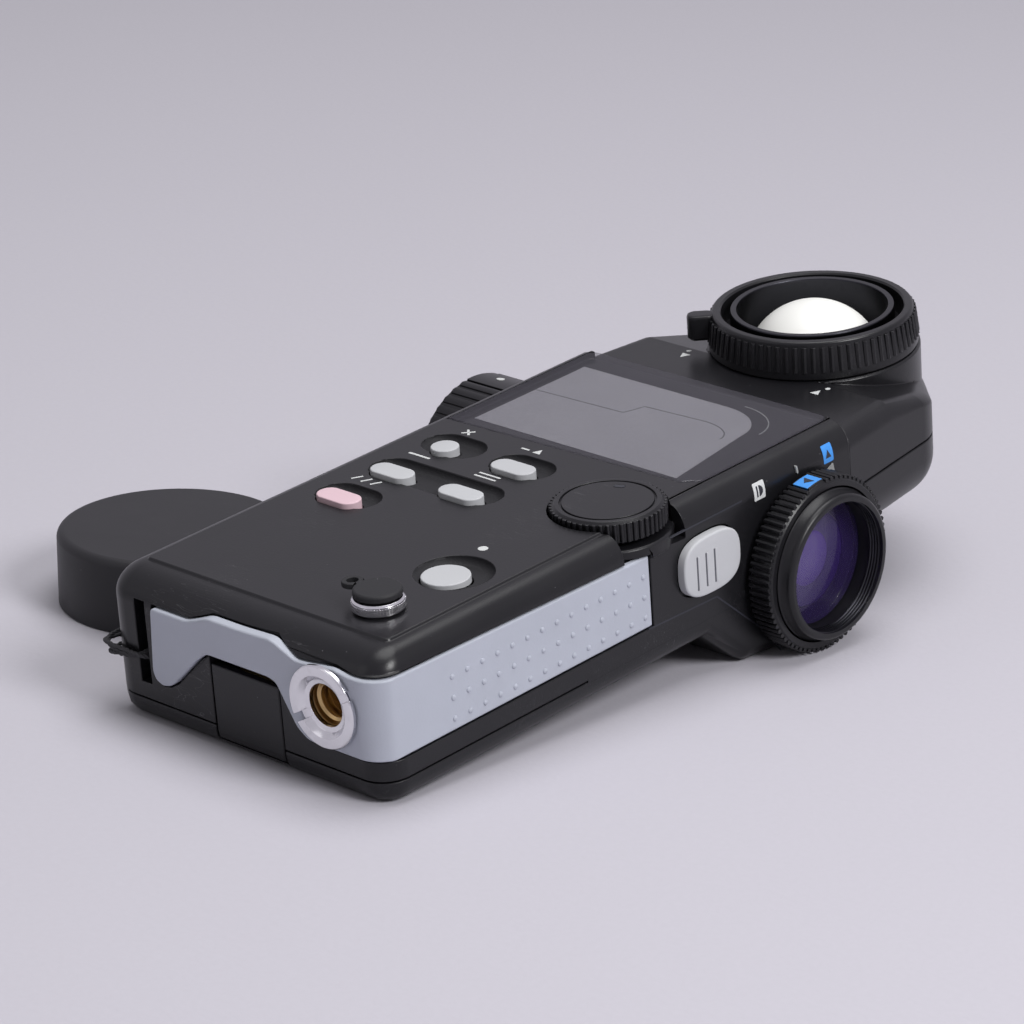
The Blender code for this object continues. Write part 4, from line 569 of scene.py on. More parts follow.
def thread_recipe():
    """A round or three-sided bead that winds along a bore."""
    r = Recipe("thread_in_a_bore", {"Turns": "Float", "Radius": "Float", "Length": "Float",
                                    "Bead": "Float", "Sides": "Int", "Material": "Material"})
    path = r.node("GeometryNodeCurveSpiral", None, {
        "Resolution": 48, "Rotations": r.size["Turns"], "Start Radius": r.size["Radius"],
        "End Radius": r.size["Radius"], "Height": r.size["Length"]})
    bead = r.node("GeometryNodeCurvePrimitiveCircle", {"mode": "RADIUS"},
                  {"Resolution": r.size["Sides"], "Radius": r.size["Bead"]}, "Curve")
    wound = r.node("GeometryNodeCurveToMesh", None, {"Curve": path, "Profile Curve": bead,
                                                     "Fill Caps": True})
    return r.finish(wound)


def heads_recipe():
    """A screw head with a cross recess at every given point."""
    r = Recipe("screw_heads", {"Radius": "Float", "Rise": "Float", "Slot": "Float",
                               "Material": "Material"}, shaped=True)
    head = r.node("GeometryNodeMeshCylinder", None, {
        "Vertices": 32, "Radius": r.size["Radius"], "Depth": r.size["Rise"]}, "Mesh")
    blade = {"Radius": 0.7071, "Depth": 1.0, "Vertices": 4}
    arms = []
    for turn in (0, math.pi / 2):
        arm = r.node("GeometryNodeMeshCylinder", None, blade, "Mesh")
        square = r.node("GeometryNodeTransform", None, {"Geometry": arm,
                                                        "Rotation": (0, 0, math.pi / 4)})
        sized = r.node("GeometryNodeTransform", None, {
            "Geometry": square, "Translation": r.vector(0, 0, r.size["Rise"] * -0.5),
            "Rotation": (0, 0, turn),
            "Scale": r.vector(r.size["Radius"] * 1.3, r.size["Slot"], r.size["Rise"])})
        arms.append(sized)
    for sized in arms:
        head = r.node("GeometryNodeMeshBoolean", {"operation": "DIFFERENCE", "solver": "EXACT"},
                      {0: head, 1: sized}, 0)
    heads = r.node("GeometryNodeInstanceOnPoints", None, {"Points": r.size["Geometry"],
                                                          "Instance": head})
    return r.finish(heads)


# Meshes drawn in the meter's axes


def on_axis(axis, first, second, along):
    """Point of an outline drawn across an axis: x-y along Z, x-z along Y, y-z along X."""
    if axis == "Z":
        return Vector((first, second, along))
    if axis == "Y":
        return Vector((first, along, second))
    return Vector((along, first, second))


def stack(levels, axis="Z"):
    """Skin a stack of outlines with equal counts; each level is (outline, place on the axis)."""
    bm = bmesh.new()
    rings = [[bm.verts.new(on_axis(axis, a, b, along)) for a, b in outline]
             for outline, along in levels]
    count = len(rings[0])
    for lower, upper in zip(rings, rings[1:]):
        for i in range(count):
            j = (i + 1) % count
            bm.faces.new((lower[i], lower[j], upper[j], upper[i]))
    bm.faces.new(rings[0])
    bm.faces.new(rings[-1])
    return bm


def prism(outline, start, stop, axis="Z"):
    """Extrude a flat outline along an axis."""
    return stack([(outline, start), (outline, stop)], axis)


def box(low, high):
    """Rectangular block between two corners."""
    outline = ((low[0], low[1]), (high[0], low[1]), (high[0], high[1]), (low[0], high[1]))
    return prism(outline, low[2], high[2])


def turned(profile, centre, axis="Z", steps=round_steps):
    """Spin a closed profile of (radius, place on the axis) round an axis through centre."""
    bm = bmesh.new()
    first, second = centre
    rings = []
    for radius, along in profile:
        if radius <= hair:
            rings.append([bm.verts.new(on_axis(axis, first, second, along))])
        else:
            rings.append([bm.verts.new(on_axis(axis, first + radius * math.cos(math.tau * i / steps),
                                               second + radius * math.sin(math.tau * i / steps),
                                               along)) for i in range(steps)])
    for here, there in zip(rings, rings[1:] + rings[:1]):
        if len(here) == 1 and len(there) == 1:
            continue
        for i in range(steps):
            j = (i + 1) % steps
            corners = [here[i % len(here)], here[j % len(here)], there[j % len(there)],
                       there[i % len(there)]]
            face = []
            for corner in corners:
                if corner not in face:
                    face.append(corner)
            bm.faces.new(face)
    return bm


def disc(radius, start, stop, centre, axis="Z", steps=round_steps):
    """Plain round block."""
    return turned(((0, start), (radius, start), (radius, stop), (0, stop)), centre, axis, steps)


def arc(centre, radius, begin, end, steps):
    """Points of a circular arc, both ends included."""
    turns = [begin + (end - begin) * i / steps for i in range(steps + 1)]
    return [(centre[0] + radius * math.cos(t), centre[1] + radius * math.sin(t)) for t in turns]


def stadium(centre, length, width, grow=0, steps=20):
    """Outline with round ends, its long way across the meter."""
    radius = width / 2
    reach = max(length / 2 - radius, hair)
    return (arc((centre[0] + reach, centre[1]), radius + grow, -math.pi / 2, math.pi / 2, steps)
            + arc((centre[0] - reach, centre[1]), radius + grow, math.pi / 2, math.pi * 3 / 2,
                  steps))


def tube(path, radius, sides=10):
    """Round tube along a closed or open path of points."""
    bm = bmesh.new()
    count = len(path)
    normal = None
    rings = []
    for i, point in enumerate(path):
        along = (path[(i + 1) % count] - path[i - 1]).normalized()
        if i == 0:
            along = (path[1] - path[0]).normalized()
        if i == count - 1:
            along = (path[-1] - path[-2]).normalized()
        if normal is None:
            normal = along.orthogonal()
        normal = (normal - along * normal.dot(along)).normalized()
        side = along.cross(normal)
        rings.append([bm.verts.new(point + (normal * math.cos(math.tau * k / sides)
                                            + side * math.sin(math.tau * k / sides)) * radius)
                      for k in range(sides)])
    for lower, upper in zip(rings, rings[1:]):
        for k in range(sides):
            j = (k + 1) % sides
            bm.faces.new((lower[k], lower[j], upper[j], upper[k]))
    bm.faces.new(rings[0])
    bm.faces.new(rings[-1])
    return bm


class Carving:
    """A solid with helper solids joined to it or cut from it."""
    helpers = []

    def __init__(self, bm, finish="black_plastic"):
        bmesh.ops.recalc_face_normals(bm, faces=bm.faces)
        mesh = bpy.data.meshes.new("carving")
        bm.to_mesh(mesh)
        bm.free()
        mesh.materials.append(Finish.made[finish])
        self.item = bpy.data.objects.new("carving", mesh)
        bpy.context.scene.collection.objects.link(self.item)
        Carving.helpers.append(self.item)

    def combine(self, tool, operation, finish=None):
        if not isinstance(tool, Carving):
            tool = Carving(tool, finish or self.item.data.materials[0].name[len("finish_"):])
        step = self.item.modifiers.new("carve", "BOOLEAN")
        step.operation = operation
        step.solver = "EXACT"
        step.material_mode = "TRANSFER"
        step.object = tool.item
        return self

    def cut(self, tool, finish=None):
        return self.combine(tool, "DIFFERENCE", finish)

    def join(self, tool, finish=None):
        return self.combine(tool, "UNION", finish)

    def keep(self, tool, finish=None):
        return self.combine(tool, "INTERSECT", finish)

    def settle(self):
        """The finished plain mesh; the helper solids go."""
        graph = bpy.context.evaluated_depsgraph_get()
        mesh = bpy.data.meshes.new_from_object(self.item.evaluated_get(graph))
        for item in Carving.helpers:
            bpy.data.objects.remove(item)
        Carving.helpers.clear()
        return mesh


def publish(name, parts, body, stands_for=(), finish=None, edge=0, steps=2,
            sharp=35, place=None, fresh=True):
    """Join meshes into one finished piece in its place, on its body."""
    place = REST if place is None else place
    mesh = bpy.data.meshes.new(name)
    whole = bmesh.new()
    slots = []
    for part in parts if isinstance(parts, (list, tuple)) else [parts]:
        if isinstance(part, bmesh.types.BMesh):
            if fresh:
                bmesh.ops.recalc_face_normals(part, faces=part.faces)
            loose = bpy.data.meshes.new("part")
            part.to_mesh(loose)
            part.free()
            part = loose
        own = list(part.materials) or [Finish.made[finish]]
        for material in own:
            if material not in slots:
                slots.append(material)
        added = len(whole.faces)
        whole.from_mesh(part)
        whole.faces.ensure_lookup_table()
        for face in whole.faces[added:]:
            face.material_index = slots.index(own[min(face.material_index, len(own) - 1)])
        bpy.data.meshes.remove(part)
    bmesh.ops.transform(whole, matrix=place, verts=whole.verts)
    whole.to_mesh(mesh)
    whole.free()
    for material in slots:
        mesh.materials.append(material)
    mesh.shade_smooth()
    mesh.set_sharp_from_angle(angle=math.radians(sharp))
    piece = bpy.data.objects.new(name, mesh)
    bpy.context.scene.collection.objects.link(piece)
    if edge:
        round_off = piece.modifiers.new("edges", "BEVEL")
        round_off.width = edge
        round_off.segments = steps
        round_off.limit_method = "ANGLE"
        round_off.angle_limit = math.radians(sharp)
        round_off.use_clamp_overlap = False
        round_off.harden_normals = True
    even = piece.modifiers.new("even_shading", "WEIGHTED_NORMAL")
    even.keep_sharp = True
    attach(piece, body)
    if stands_for:
        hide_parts(*([stands_for] if isinstance(stands_for, str) else stands_for))
    return piece


def copied(node):
    """Merged copy of a part's mesh, back in the meter's axes."""
    bm = bmesh.new()
    bm.from_mesh(frame["nodes"][node].data)
    bmesh.ops.transform(bm, matrix=REST.inverted(), verts=bm.verts)
    bmesh.ops.remove_doubles(bm, verts=bm.verts, dist=hair)
    bmesh.ops.dissolve_limit(bm, angle_limit=math.radians(0.4), verts=bm.verts, edges=bm.edges)
    for face in bm.faces:
        face.material_index = 0
    return bm


def smoothed(node, finish, edge=0, name=None, body=None, extra=(), sharp=35):
    """A part's own form with round edges and a finish."""
    bm = copied(node)
    plain = bpy.data.meshes.new("part")
    bm.to_mesh(plain)
    bm.free()
    plain.materials.append(Finish.made[finish])
    body = body or frame["nodes"][node]["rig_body"]
    return publish(name or node + "_form", [plain, *extra], body, node,
                   finish, edge, sharp=sharp)


def finish_nodes():
    """Give every part that still shows the finish of its slot."""
    for node in frame["nodes"].values():
        if node.hide_render:
            continue
        for spot in node.material_slots:
            spot.material = Finish.made[spot.material.name.split(".")[0]]


# The housing


def body_outline(inset, end_inset=None, steps=fine_steps):
    """Plan of the body: round corners at the lower end, square ones at the head."""
    side = half_width - inset
    radius = max(end_corner - inset, gap)
    near = (inset if end_inset is None else end_inset) + radius
    lower_left = arc((-side + radius, near), radius, math.pi, math.pi * 3 / 2, steps)
    lower_right = arc((side - radius, near), radius, -math.pi / 2, 0, steps)
    return lower_left + lower_right + [(side, body_length), (-side, body_length)]


def front_form(low, proud=0):
    """Outer form of the front half from a height upwards."""
    levels = [(body_outline(-proud), low)]
    for i in range(fine_steps + 1):
        turn = math.pi / 2 * i / fine_steps
        levels.append((body_outline(top_fillet_width * (1 - math.cos(turn)) - proud,
                                    end_fillet_width * (1 - math.cos(turn)) - proud),
                       spring_line + top_fillet_height * math.sin(turn) + proud))
    levels.append((body_outline(top_fillet_width + panel_step_width,
                                end_fillet_width + panel_step_width), body_depth + proud))
    return stack(levels)


scoop_length = 12.6 * MM
scoop_width = 8.4 * MM
scoop_depth = 1.25 * MM
scoop_shift = 2.0 * MM
power_scoop = 13.4 * MM
power_shift = 1.7 * MM
scoop_bend = 1.1 * MM


def scoop(centre, length, width, shift):
    """Finger scoop let in aslant, with a round foot to its wall."""
    levels = []
    for i in range(6):
        turn = math.pi / 2 * i / 5
        levels.append((stadium(centre, length, width, -scoop_bend * (1 - math.sin(turn))),
                       scoop_bend * (1 - math.cos(turn)) - scoop_bend / 4))
    levels.append((stadium(centre, length, width), overrun * 2))
    bm = stack(levels)
    tilt = math.atan2(scoop_depth, width)
    near = Vector((centre[0], centre[1] - width / 2, 0))
    turn = Matrix.Translation(near) @ Matrix.Rotation(-tilt, 4, "X") @ Matrix.Translation(-near)
    bmesh.ops.transform(bm, matrix=Matrix.Translation((0, shift, body_depth)) @ turn,
                        verts=bm.verts)
    return bm


KEYS = ("mode_button", "iso_button", "iso_two_button", "clear_button", "average_button",
        "power_button")
key_flange = 0.8 * MM


def key_place(name):
    """Centre, length and width of a top button."""
    low, high = limits(name)
    centre = (low + high) / 2
    return centre.x, centre.y, high.x - low.x - key_flange * 2, high.y - low.y - key_flange * 2


side_power_share = 2.8
side_steps = 48
pocket_depth = 1.0 * MM
stem_radius = 2.5 * MM
neck_radius = 10.9 * MM
shaft_radius = 6.0 * MM
grip_low = 8.0 * MM
grip_high = 21.8 * MM
grip_far_high = 20.3 * MM
grip_thickness = 1.3 * MM
grip_end = limits("side_grip")[1].y
arm_proud = -limits("side_grip")[0].y
arm_tip = limits("side_grip")[0].x
tripod = middle_of("tripod_ring")
insert_radius = 5.0 * MM
insert_reach = 13.0 * MM
boss_radius = 7.2 * MM
eyelet_left = 7.2 * MM - half_width
eyelet_width = 2.4 * MM
eyelet_low = 7.2 * MM
eyelet_high = 21.8 * MM
eyelet_depth = 4.5 * MM
eyelet_wall = 1.8 * MM
door_low, door_high = limits("battery_door")
door_mouth = 16.9 * MM
sync = middle_of("sync_terminal")
sync_stem = 3.2 * MM
screen_border = 1.6 * MM
pane_side = 27.0 * MM


def pane_outline():
    """Plan of the window: a near edge that runs a little aslant, round far corners."""
    far = window_high.y
    corner = 1.8 * MM
    right = arc((pane_side - corner, far - corner), corner, 0, math.pi / 2, 6)
    left = arc((corner - pane_side, far - corner), corner, math.pi / 2, math.pi, 6)
    slant, cut_across, cut_along = 0.9 * MM, 2.6 * MM, 3.2 * MM
    return [(-pane_side, window_low.y - slant), (pane_side - cut_across, window_low.y + slant),
            (pane_side, window_low.y + cut_along)] + right + left


def side_oval(name, grow=0, steps=side_steps):
    """Rounded oval of a side button, drawn in y and z."""
    low, high = limits(name)
    middle = (low + high) / 2
    points = []
    for i in range(steps):
        turn = math.tau * i / steps
        c, s = math.cos(turn), math.sin(turn)
        a = (high.y - low.y) / 2 + grow
        b = (high.z - low.z) / 2 + grow
        points.append((middle.y + a * math.copysign(abs(c) ** (2 / side_power_share), c),
                       middle.z + b * math.copysign(abs(s) ** (2 / side_power_share), s)))
    return points


def arm_outline():
    """The arm and the grip as seen from the lower end, closed at the right."""
    tip, ring = arm_tip, tripod.x
    lower = ((tip + 0.3 * MM, 10.2 * MM), (tip + 0.9 * MM, 8.7 * MM), (tip + 2.4 * MM, 8.0 * MM),
             (tip + 4.0 * MM, 8.3 * MM), (tip + 5.6 * MM, 9.3 * MM), (-9.3 * MM, 15.2 * MM),
             (-7.2 * MM, 16.7 * MM),
             (6.9 * MM, 16.7 * MM), (8.6 * MM, 16.2 * MM), (12.6 * MM, 9.6 * MM),
             (15.0 * MM, grip_low))
    upper = ((ring + 5.3 * MM, grip_high), (ring + 2.3 * MM, 22.3 * MM),
             (ring - 3.5 * MM, 21.6 * MM), (ring - 6.1 * MM, 21.4 * MM), (11.2 * MM, 22.4 * MM),
             (8.2 * MM, 23.6 * MM), (1.0 * MM, 23.3 * MM), (-6.1 * MM, 23.3 * MM),
             (-8.3 * MM, 22.5 * MM), (-11.2 * MM, 21.5 * MM), (tip + 1.2 * MM, 21.5 * MM))
    right = half_width + overrun
    return list(lower) + [(right, grip_low), (right, grip_high)] + list(upper)


def grow_outline(points, amount):
    """Move each side of a closed outline outwards by an amount."""
    area = sum(a[0] * b[1] - b[0] * a[1] for a, b in zip(points, points[1:] + points[:1]))
    sign = 1 if area > 0 else -1
    grown = []
    for before, here, after in zip(points[-1:] + points[:-1], points, points[1:] + points[:1]):
        first = Vector((here[0] - before[0], here[1] - before[1])).normalized()
        second = Vector((after[0] - here[0], after[1] - here[1])).normalized()
        normal = Vector((first.y + second.y, -first.x - second.x)).normalized() * sign
        spread = max(normal.dot(Vector((first.y, -first.x)) * sign), 0.5)
        grown.append((here[0] + normal.x * amount / spread, here[1] + normal.y * amount / spread))
    return grown


def round_corners(points, radius, steps=4):
    """Replace the corners of a closed outline by short curves."""
    rounded = []
    count = len(points)
    for i in range(count):
        before, here, after = (Vector(points[i - 1]), Vector(points[i]),
                               Vector(points[(i + 1) % count]))
        back, on = before - here, after - here
        reach = min(radius, back.length * 0.4, on.length * 0.4)
        start = here + back.normalized() * reach
        stop = here + on.normalized() * reach
        for k in range(steps + 1):
            t = k / steps
            point = start * (1 - t) ** 2 + here * 2 * t * (1 - t) + stop * t ** 2
            rounded.append((point.x, point.y))
    return rounded


def grip_slope(grow=0.0):
    """Wedge above the sloping top edge of the grip."""
    bend, stop, top = end_corner, grip_end + overrun * 2, body_depth + overrun
    outline = [(bend, grip_high + grow), (stop, grip_far_high + grow), (stop, top), (bend, top)]
    return prism(outline, -half_width - overrun * 4, half_width + overrun * 4, "X")


def strip_outline(outer, inner, side, end):
    """Plan of the strip that wraps the lower right corner, between two offsets of the body."""
    far = (arm_tip - overrun, end)
    corner = half_width - end_corner
    outside = [(far[0], -outer)]
    outside += arc((corner, end_corner), end_corner + outer, -math.pi / 2, 0, fine_steps)
    outside = [(min(x, side), y) for x, y in outside]
    outside.append((side, far[1]))
    inside = [(half_width - inner, far[1])]
    inside += arc((corner, end_corner), end_corner - inner, 0, -math.pi / 2, fine_steps)
    inside.append((far[0], inner))
    return outside + inside


def make_housing():
    """Front half of the body, with its scoops, pockets, window seat and eyelet."""
    low = parting_low
    shell = Carving(front_form(low))
    inner_top = body_depth - top_wall
    plan = [(x, min(y, body_length - top_wall)) for x, y in body_outline(body_wall)]
    hollow = Carving(prism(plan, low - overrun, inner_top), "inner_black")
    cup_drop, cup_room = 2.4 * gap, 0.35 * MM
    cup_floor = wheel_top - wheel_thickness - cup_drop
    cup = wheel_radius + cup_room
    wall = 1.2 * MM
    hollow.cut(disc(cup + wall, cup_floor - wall, inner_top + overrun, wheel.xy))
    hollow.cut(box((-half_width, 0, low - overrun * 2),
                   (eyelet_left + eyelet_width + eyelet_wall,
                    eyelet_depth + eyelet_width + eyelet_wall, body_depth)))
    hollow.cut(disc(boss_radius, 0, insert_reach, (tripod.x, tripod.z), "Y", 48))
    shell.cut(hollow)

    seat = window_low.z - gap
    shell.cut(prism(grow_outline(pane_outline(), gap), seat, body_depth + overrun))
    screen_low, screen_high = limits("display_panel")
    shell.cut(box((screen_low.x + screen_border, screen_low.y + screen_border,
                   inner_top - overrun),
                  (screen_high.x - screen_border, screen_high.y - screen_border, body_depth)))
    places = {name: key_place(name) for name in KEYS}
    for x, y, length, width in places.values():
        shell.cut(prism(stadium((x, y), length, width, gap * 0.8), inner_top - overrun,
                        body_depth + overrun))
    left, right = places["iso_button"], places["iso_two_button"]
    trough = scoop_length + right[0] - left[0]
    for place, length in ((places["mode_button"][:2], scoop_length),
                          (((left[0] + right[0]) / 2, left[1]), trough),
                          (places["clear_button"][:2], scoop_length),
                          (places["average_button"][:2], scoop_length)):
        shell.cut(scoop(place, length, scoop_width, scoop_shift), "grained_plastic")
    shell.cut(scoop(places["power_button"][:2], power_scoop, power_scoop, power_shift),
              "grained_plastic")

    bay_side, bay_reach, bay_low = 27.6 * MM, 7.4 * MM, 20.3 * MM
    shell.cut(box((bay_side, wheel.y - bay_reach, bay_low),
                  (half_width + overrun, wheel.y + bay_reach, body_depth + overrun)))
    lip_proud, lip_low, lip_edge = 0.8 * MM, 19.9 * MM, 0.3 * MM
    lip = wheel_radius + lip_proud
    curve = arc((lip - lip_edge, lip_low + lip_edge), lip_edge, -math.pi / 2, 0, 6)
    shell.join(turned([(0, lip_low), *curve, (lip, cup_floor - gap), (lip - gap, cup_floor),
                       (0, cup_floor)], wheel.xy))
    shell.cut(disc(cup, cup_floor, body_depth + overrun, wheel.xy))
    shell.cut(disc(sync_stem + gap, inner_top - overrun, body_depth + overrun, sync.xy, steps=48))

    strip = Carving(prism(strip_outline(overrun, grip_thickness + gap, half_width + overrun,
                                        grip_end + gap), 0, body_depth))
    strip.keep(prism(grow_outline(arm_outline(), gap), -overrun * 2, grip_end + overrun, "Y"))
    strip.cut(grip_slope(gap))
    shell.cut(strip)
    shell.cut(disc(insert_radius + gap, -overrun, insert_reach, (tripod.x, tripod.z), "Y", 48))
    for name, sign in (("measure_button", 1), ("memory_button", -1)):
        middle = middle_of(name)
        shell.cut(prism(side_oval(name, gap), sign * (half_width - pocket_depth),
                        sign * (half_width + overrun), "X"))
        shell.cut(disc(stem_radius + gap, sign * (half_width - body_wall - overrun),
                       sign * half_width, (middle.y, middle.z), "X", 32))
    shell.cut(disc(neck_radius + gap, -half_width - overrun, half_width + overrun,
                   (optic.y, optic.z), "X"))
    shell.cut(disc(shaft_radius + gap, body_length - top_wall - overrun, body_length + overrun,
                   (0, axle_share * body_length), "Y"))
    shell.cut(box((door_low.x - gap, -overrun, 0),
                  (door_high.x + gap, top_wall + overrun, door_mouth)))
    slot_right = eyelet_left + eyelet_width
    shell.cut(prism(((eyelet_left, -overrun), (slot_right, -overrun),
                     (slot_right, eyelet_depth + eyelet_width),
                     (-half_width - overrun, eyelet_depth + eyelet_width),
                     (-half_width - overrun, eyelet_depth), (eyelet_left, eyelet_depth)),
                    eyelet_low, eyelet_high))
    return publish("front_housing", shell.settle(), "body", "front_shell",
                   edge=0.14 * MM, sharp=32)


seam = 0.28 * MM
lip_seam = (67.3 * MM, 21.6 * MM), (85.2 * MM, 21.6 * MM)
side_seam = ((grip_end - 1.0 * MM, 7.7 * MM), (77.9 * MM, 7.1 * MM), (83.4 * MM, 2.0 * MM),
             (89.6 * MM, -3.7 * MM), (93.7 * MM, -9.1 * MM))


def seam_strips():
    """Fine joint line of the right side as thin dark strips."""
    runs = list(zip(side_seam, side_seam[1:])) + [lip_seam]
    return [plate(bar(a, b, seam), half_width - gap, half_width + hair * 12, "dark_ink", "X")
            for a, b in runs]


def make_back():
    """Back half of the body with its screws, and the joint of the right side."""
    smoothed("rear_shell", "black_plastic", edge=0.16 * MM, name="rear_housing")
    publish("side_joint", seam_strips(), "body")
    depth, proud, start, reach = 0.6 * MM, 0.01 * MM, 46 * MM, 0.4 * MM
    filler = box((half_width - depth, start, parting_low - reach),
                 (half_width + proud, body_length - gap, parting_low + reach))
    publish("joint_filler", filler, "body", finish="black_plastic")
    nodes = [f"back_screw_{i}" for i in range(1, 5)]
    boxes = [limits(node) for node in nodes]
    low = boxes[0][0].z
    radius = (boxes[0][1].x - boxes[0][0].x) / 2
    rise = 1.3 * MM
    points = [((a.x + b.x) / 2, (a.y + b.y) / 2, low + rise / 2) for a, b in boxes]
    heads = heads_recipe().grow("spring_steel", {"Radius": radius, "Rise": rise,
                                                 "Slot": 0.7 * MM}, points=points)
    shafts = [disc(1.1 * MM, low + rise * 0.9, boxes[0][1].z, point[:2], steps=16)
              for point in points]
    publish("back_screws", [heads, *shafts], "body", nodes, "spring_steel",
            edge=0.1 * MM)


def make_grip_piece(ribs):
    """Grey grip with its arm, thumb pad and rows of dots."""
    body = Carving(prism(strip_outline(arm_proud, grip_thickness, half_width, grip_end), 0,
                         body_depth), "grip_grey")
    body.keep(prism(round_corners(arm_outline(), 0.9 * MM), -overrun * 2, grip_end + overrun,
                    "Y"))
    ring_hole = 6.1 * MM
    body.cut(disc(ring_hole, -overrun, end_corner, (tripod.x, tripod.z), "Y", 48))
    body.cut(grip_slope())
    first, columns, rows = 15.75 * MM, 14, 3
    pitch = (grip_end - first - 1.6 * MM) / (columns - 1)
    row_pitch = 3.6 * MM
    top_row = 17.2 * MM
    centre = Vector((half_width, first + pitch * (columns - 1) / 2, top_row - row_pitch))
    place = (Matrix.Translation(centre) @ Matrix.Rotation(math.pi / 2, 4, "Y")
             @ Matrix.Rotation(math.pi / 2, 4, "Z"))
    dots = dots_recipe().grow("grip_grey", {"Columns": columns, "Rows": rows,
                                            "Column Pitch": pitch, "Row Pitch": row_pitch,
                                            "Radius": ribs.dot_radius, "Rise": ribs.dot_rise},
                              place)
    publish("grip", [body.settle(), dots], "body", "side_grip", edge=0.36 * MM,
            steps=3, sharp=50)


def make_keys():
    """Press buttons of the top panel, with soft crowns."""
    power_drop = 0.55 * MM
    for name in KEYS:
        x, y, length, width = key_place(name)
        low, high = limits(name)
        if name == "power_button":
            high.z -= power_drop
        crown = 0.22 * MM
        flange_top = body_depth - top_wall - gap
        levels = [(stadium((x, y), length, width, key_flange), low.z),
                  (stadium((x, y), length, width, key_flange), flange_top),
                  (stadium((x, y), length, width), flange_top)]
        for i in range(6):
            turn = math.pi / 2 * i / 5
            levels.append((stadium((x, y), length, width, -crown * (1 - math.cos(turn))),
                           high.z - crown * 1.15 + crown * math.sin(turn)))
        levels.append((stadium((x, y), length, width, -width * 0.42), high.z))
        finish = "key_pink" if name == "mode_button" else "key_grey"
        publish(name + "_key", stack(levels), name, name, finish, sharp=50)


def make_side_keys():
    """Measuring button with its three ribs, each with a grey strip of painted shadow beside it, and
    the memory button.
    """
    for name, sign, ribs in (("measure_button", 1, 3), ("memory_button", -1, 0)):
        low, high = limits(name)
        middle = (low + high) / 2
        top = high.x if sign > 0 else -low.x
        seat = half_width - pocket_depth + gap * 3
        crown = 0.4 * MM
        levels = [(side_oval(name), sign * seat)]
        for i in range(7):
            turn = math.pi / 2 * i / 6
            levels.append((side_oval(name, -crown * (1 - math.cos(turn))),
                           sign * (top - crown + crown * math.sin(turn) - gap / 3)))
        levels.append((side_oval(name, -crown * 4), sign * top))
        parts = [stack(levels, "X")]
        inner = low.x if sign > 0 else high.x
        foot, foot_end = 3.5 * MM, inner + sign * 1.1 * MM
        centre = (middle.y, middle.z)
        parts.append(disc(foot, inner, foot_end, centre, "X", 32))
        parts.append(disc(stem_radius, foot_end, sign * (seat + gap), centre, "X", 32))
        line, rib, reach, drop = 0.3 * MM, 0.5 * MM, 3.0 * MM, 0.5 * MM
        spots = [(middle.y + step, middle.z - drop) for step in
                 (-4.2 * MM, -2.0 * MM, 0.1 * MM)][:ribs]
        # Each rib has a grey strip of painted shadow along one side, standing in for the shadow the
        # rib casts, then the raised rib itself.
        for y, z in spots:
            parts.append(plate(round_box((y, z - reach), (y + line, z + reach), line / 2.2, 3),
                               top - gap, top + 0.02 * MM, "grey_ink", "X"))
            levels = [(round_box((y + line + inset, z - reach + inset),
                                 (y + line + rib - inset, z + reach - inset), line / 3, 3), height)
                      for inset, height in ((0, top - gap), (0, top + 0.1 * MM),
                                            (0.12 * MM, top + 0.18 * MM))]
            parts.append(stack(levels, "X"))
        publish(name + "_key", parts, name, name, "key_grey", sharp=50)


def make_wheel(ribs):
    """Setting wheel: flat disc with a groove and a pointer dot, and fine teeth."""
    low = wheel_top - wheel_thickness
    root = wheel_radius - 0.4 * MM
    chamfer = 0.5 * MM
    groove = 8.0 * MM
    dip = 0.4 * MM
    shaft = 2.0 * MM
    foot = limits("jog_wheel")[0].z
    profile = ((0, foot), (shaft, foot), (shaft, low), (root - gap, low), (root, low + gap),
               (root, wheel_top - chamfer),
               (root - chamfer, wheel_top), (groove, wheel_top), (groove, wheel_top - dip),
               (groove - dip, wheel_top - dip), (groove - dip, wheel_top), (0, wheel_top))
    teeth = ring_recipe().grow("black_plastic", {
        "Count": ribs.wheel_teeth, "Skip": 0, "Sides": 8, "Radius": root, "Rise": 0.45 * MM,
        "Width": 0.8 * MM, "Length": wheel_thickness - chamfer * 1.4},
        Matrix.Translation((wheel.x, wheel.y, low + wheel_thickness / 2)))
    mark_length, mark_width, sunk, proud = 2.0 * MM, 1.1 * MM, 0.05 * MM, 0.03 * MM
    mark = stack([(stadium((0, 0), mark_length, mark_width), wheel_top - sunk),
                  (stadium((0, 0), mark_length, mark_width), wheel_top + proud)])
    mark_x, mark_y = wheel.x - 2.2 * MM, wheel.y + 5.3 * MM
    spot = Matrix.Translation((mark_x, mark_y, 0))
    bmesh.ops.transform(mark, matrix=spot @ Matrix.Rotation(0.4, 4, "Z"), verts=mark.verts)
    inked = bpy.data.meshes.new("part")
    bmesh.ops.recalc_face_normals(mark, faces=mark.faces)
    mark.to_mesh(inked)
    mark.free()
    inked.materials.append(Finish.made["dark_ink"])
    publish("setting_wheel", [turned(profile, wheel.xy), teeth, inked], "jog", "jog_wheel",
            "black_plastic", edge=0.1 * MM)


def plate(outline, low, high, finish, axis="Z"):
    """Thin printed shape as a mesh with its own finish."""
    bm = prism(outline, low, high, axis)
    bmesh.ops.recalc_face_normals(bm, faces=bm.faces)
    mesh = bpy.data.meshes.new("part")
    bm.to_mesh(mesh)
    bm.free()
    mesh.materials.append(Finish.made[finish])
    return mesh


def bar(start, stop, width):
    """Outline of a straight stroke."""
    a, b = Vector(start), Vector(stop)
    side = (b - a).normalized().orthogonal() * width / 2
    return [tuple(a + side), tuple(b + side), tuple(b - side), tuple(a - side)]


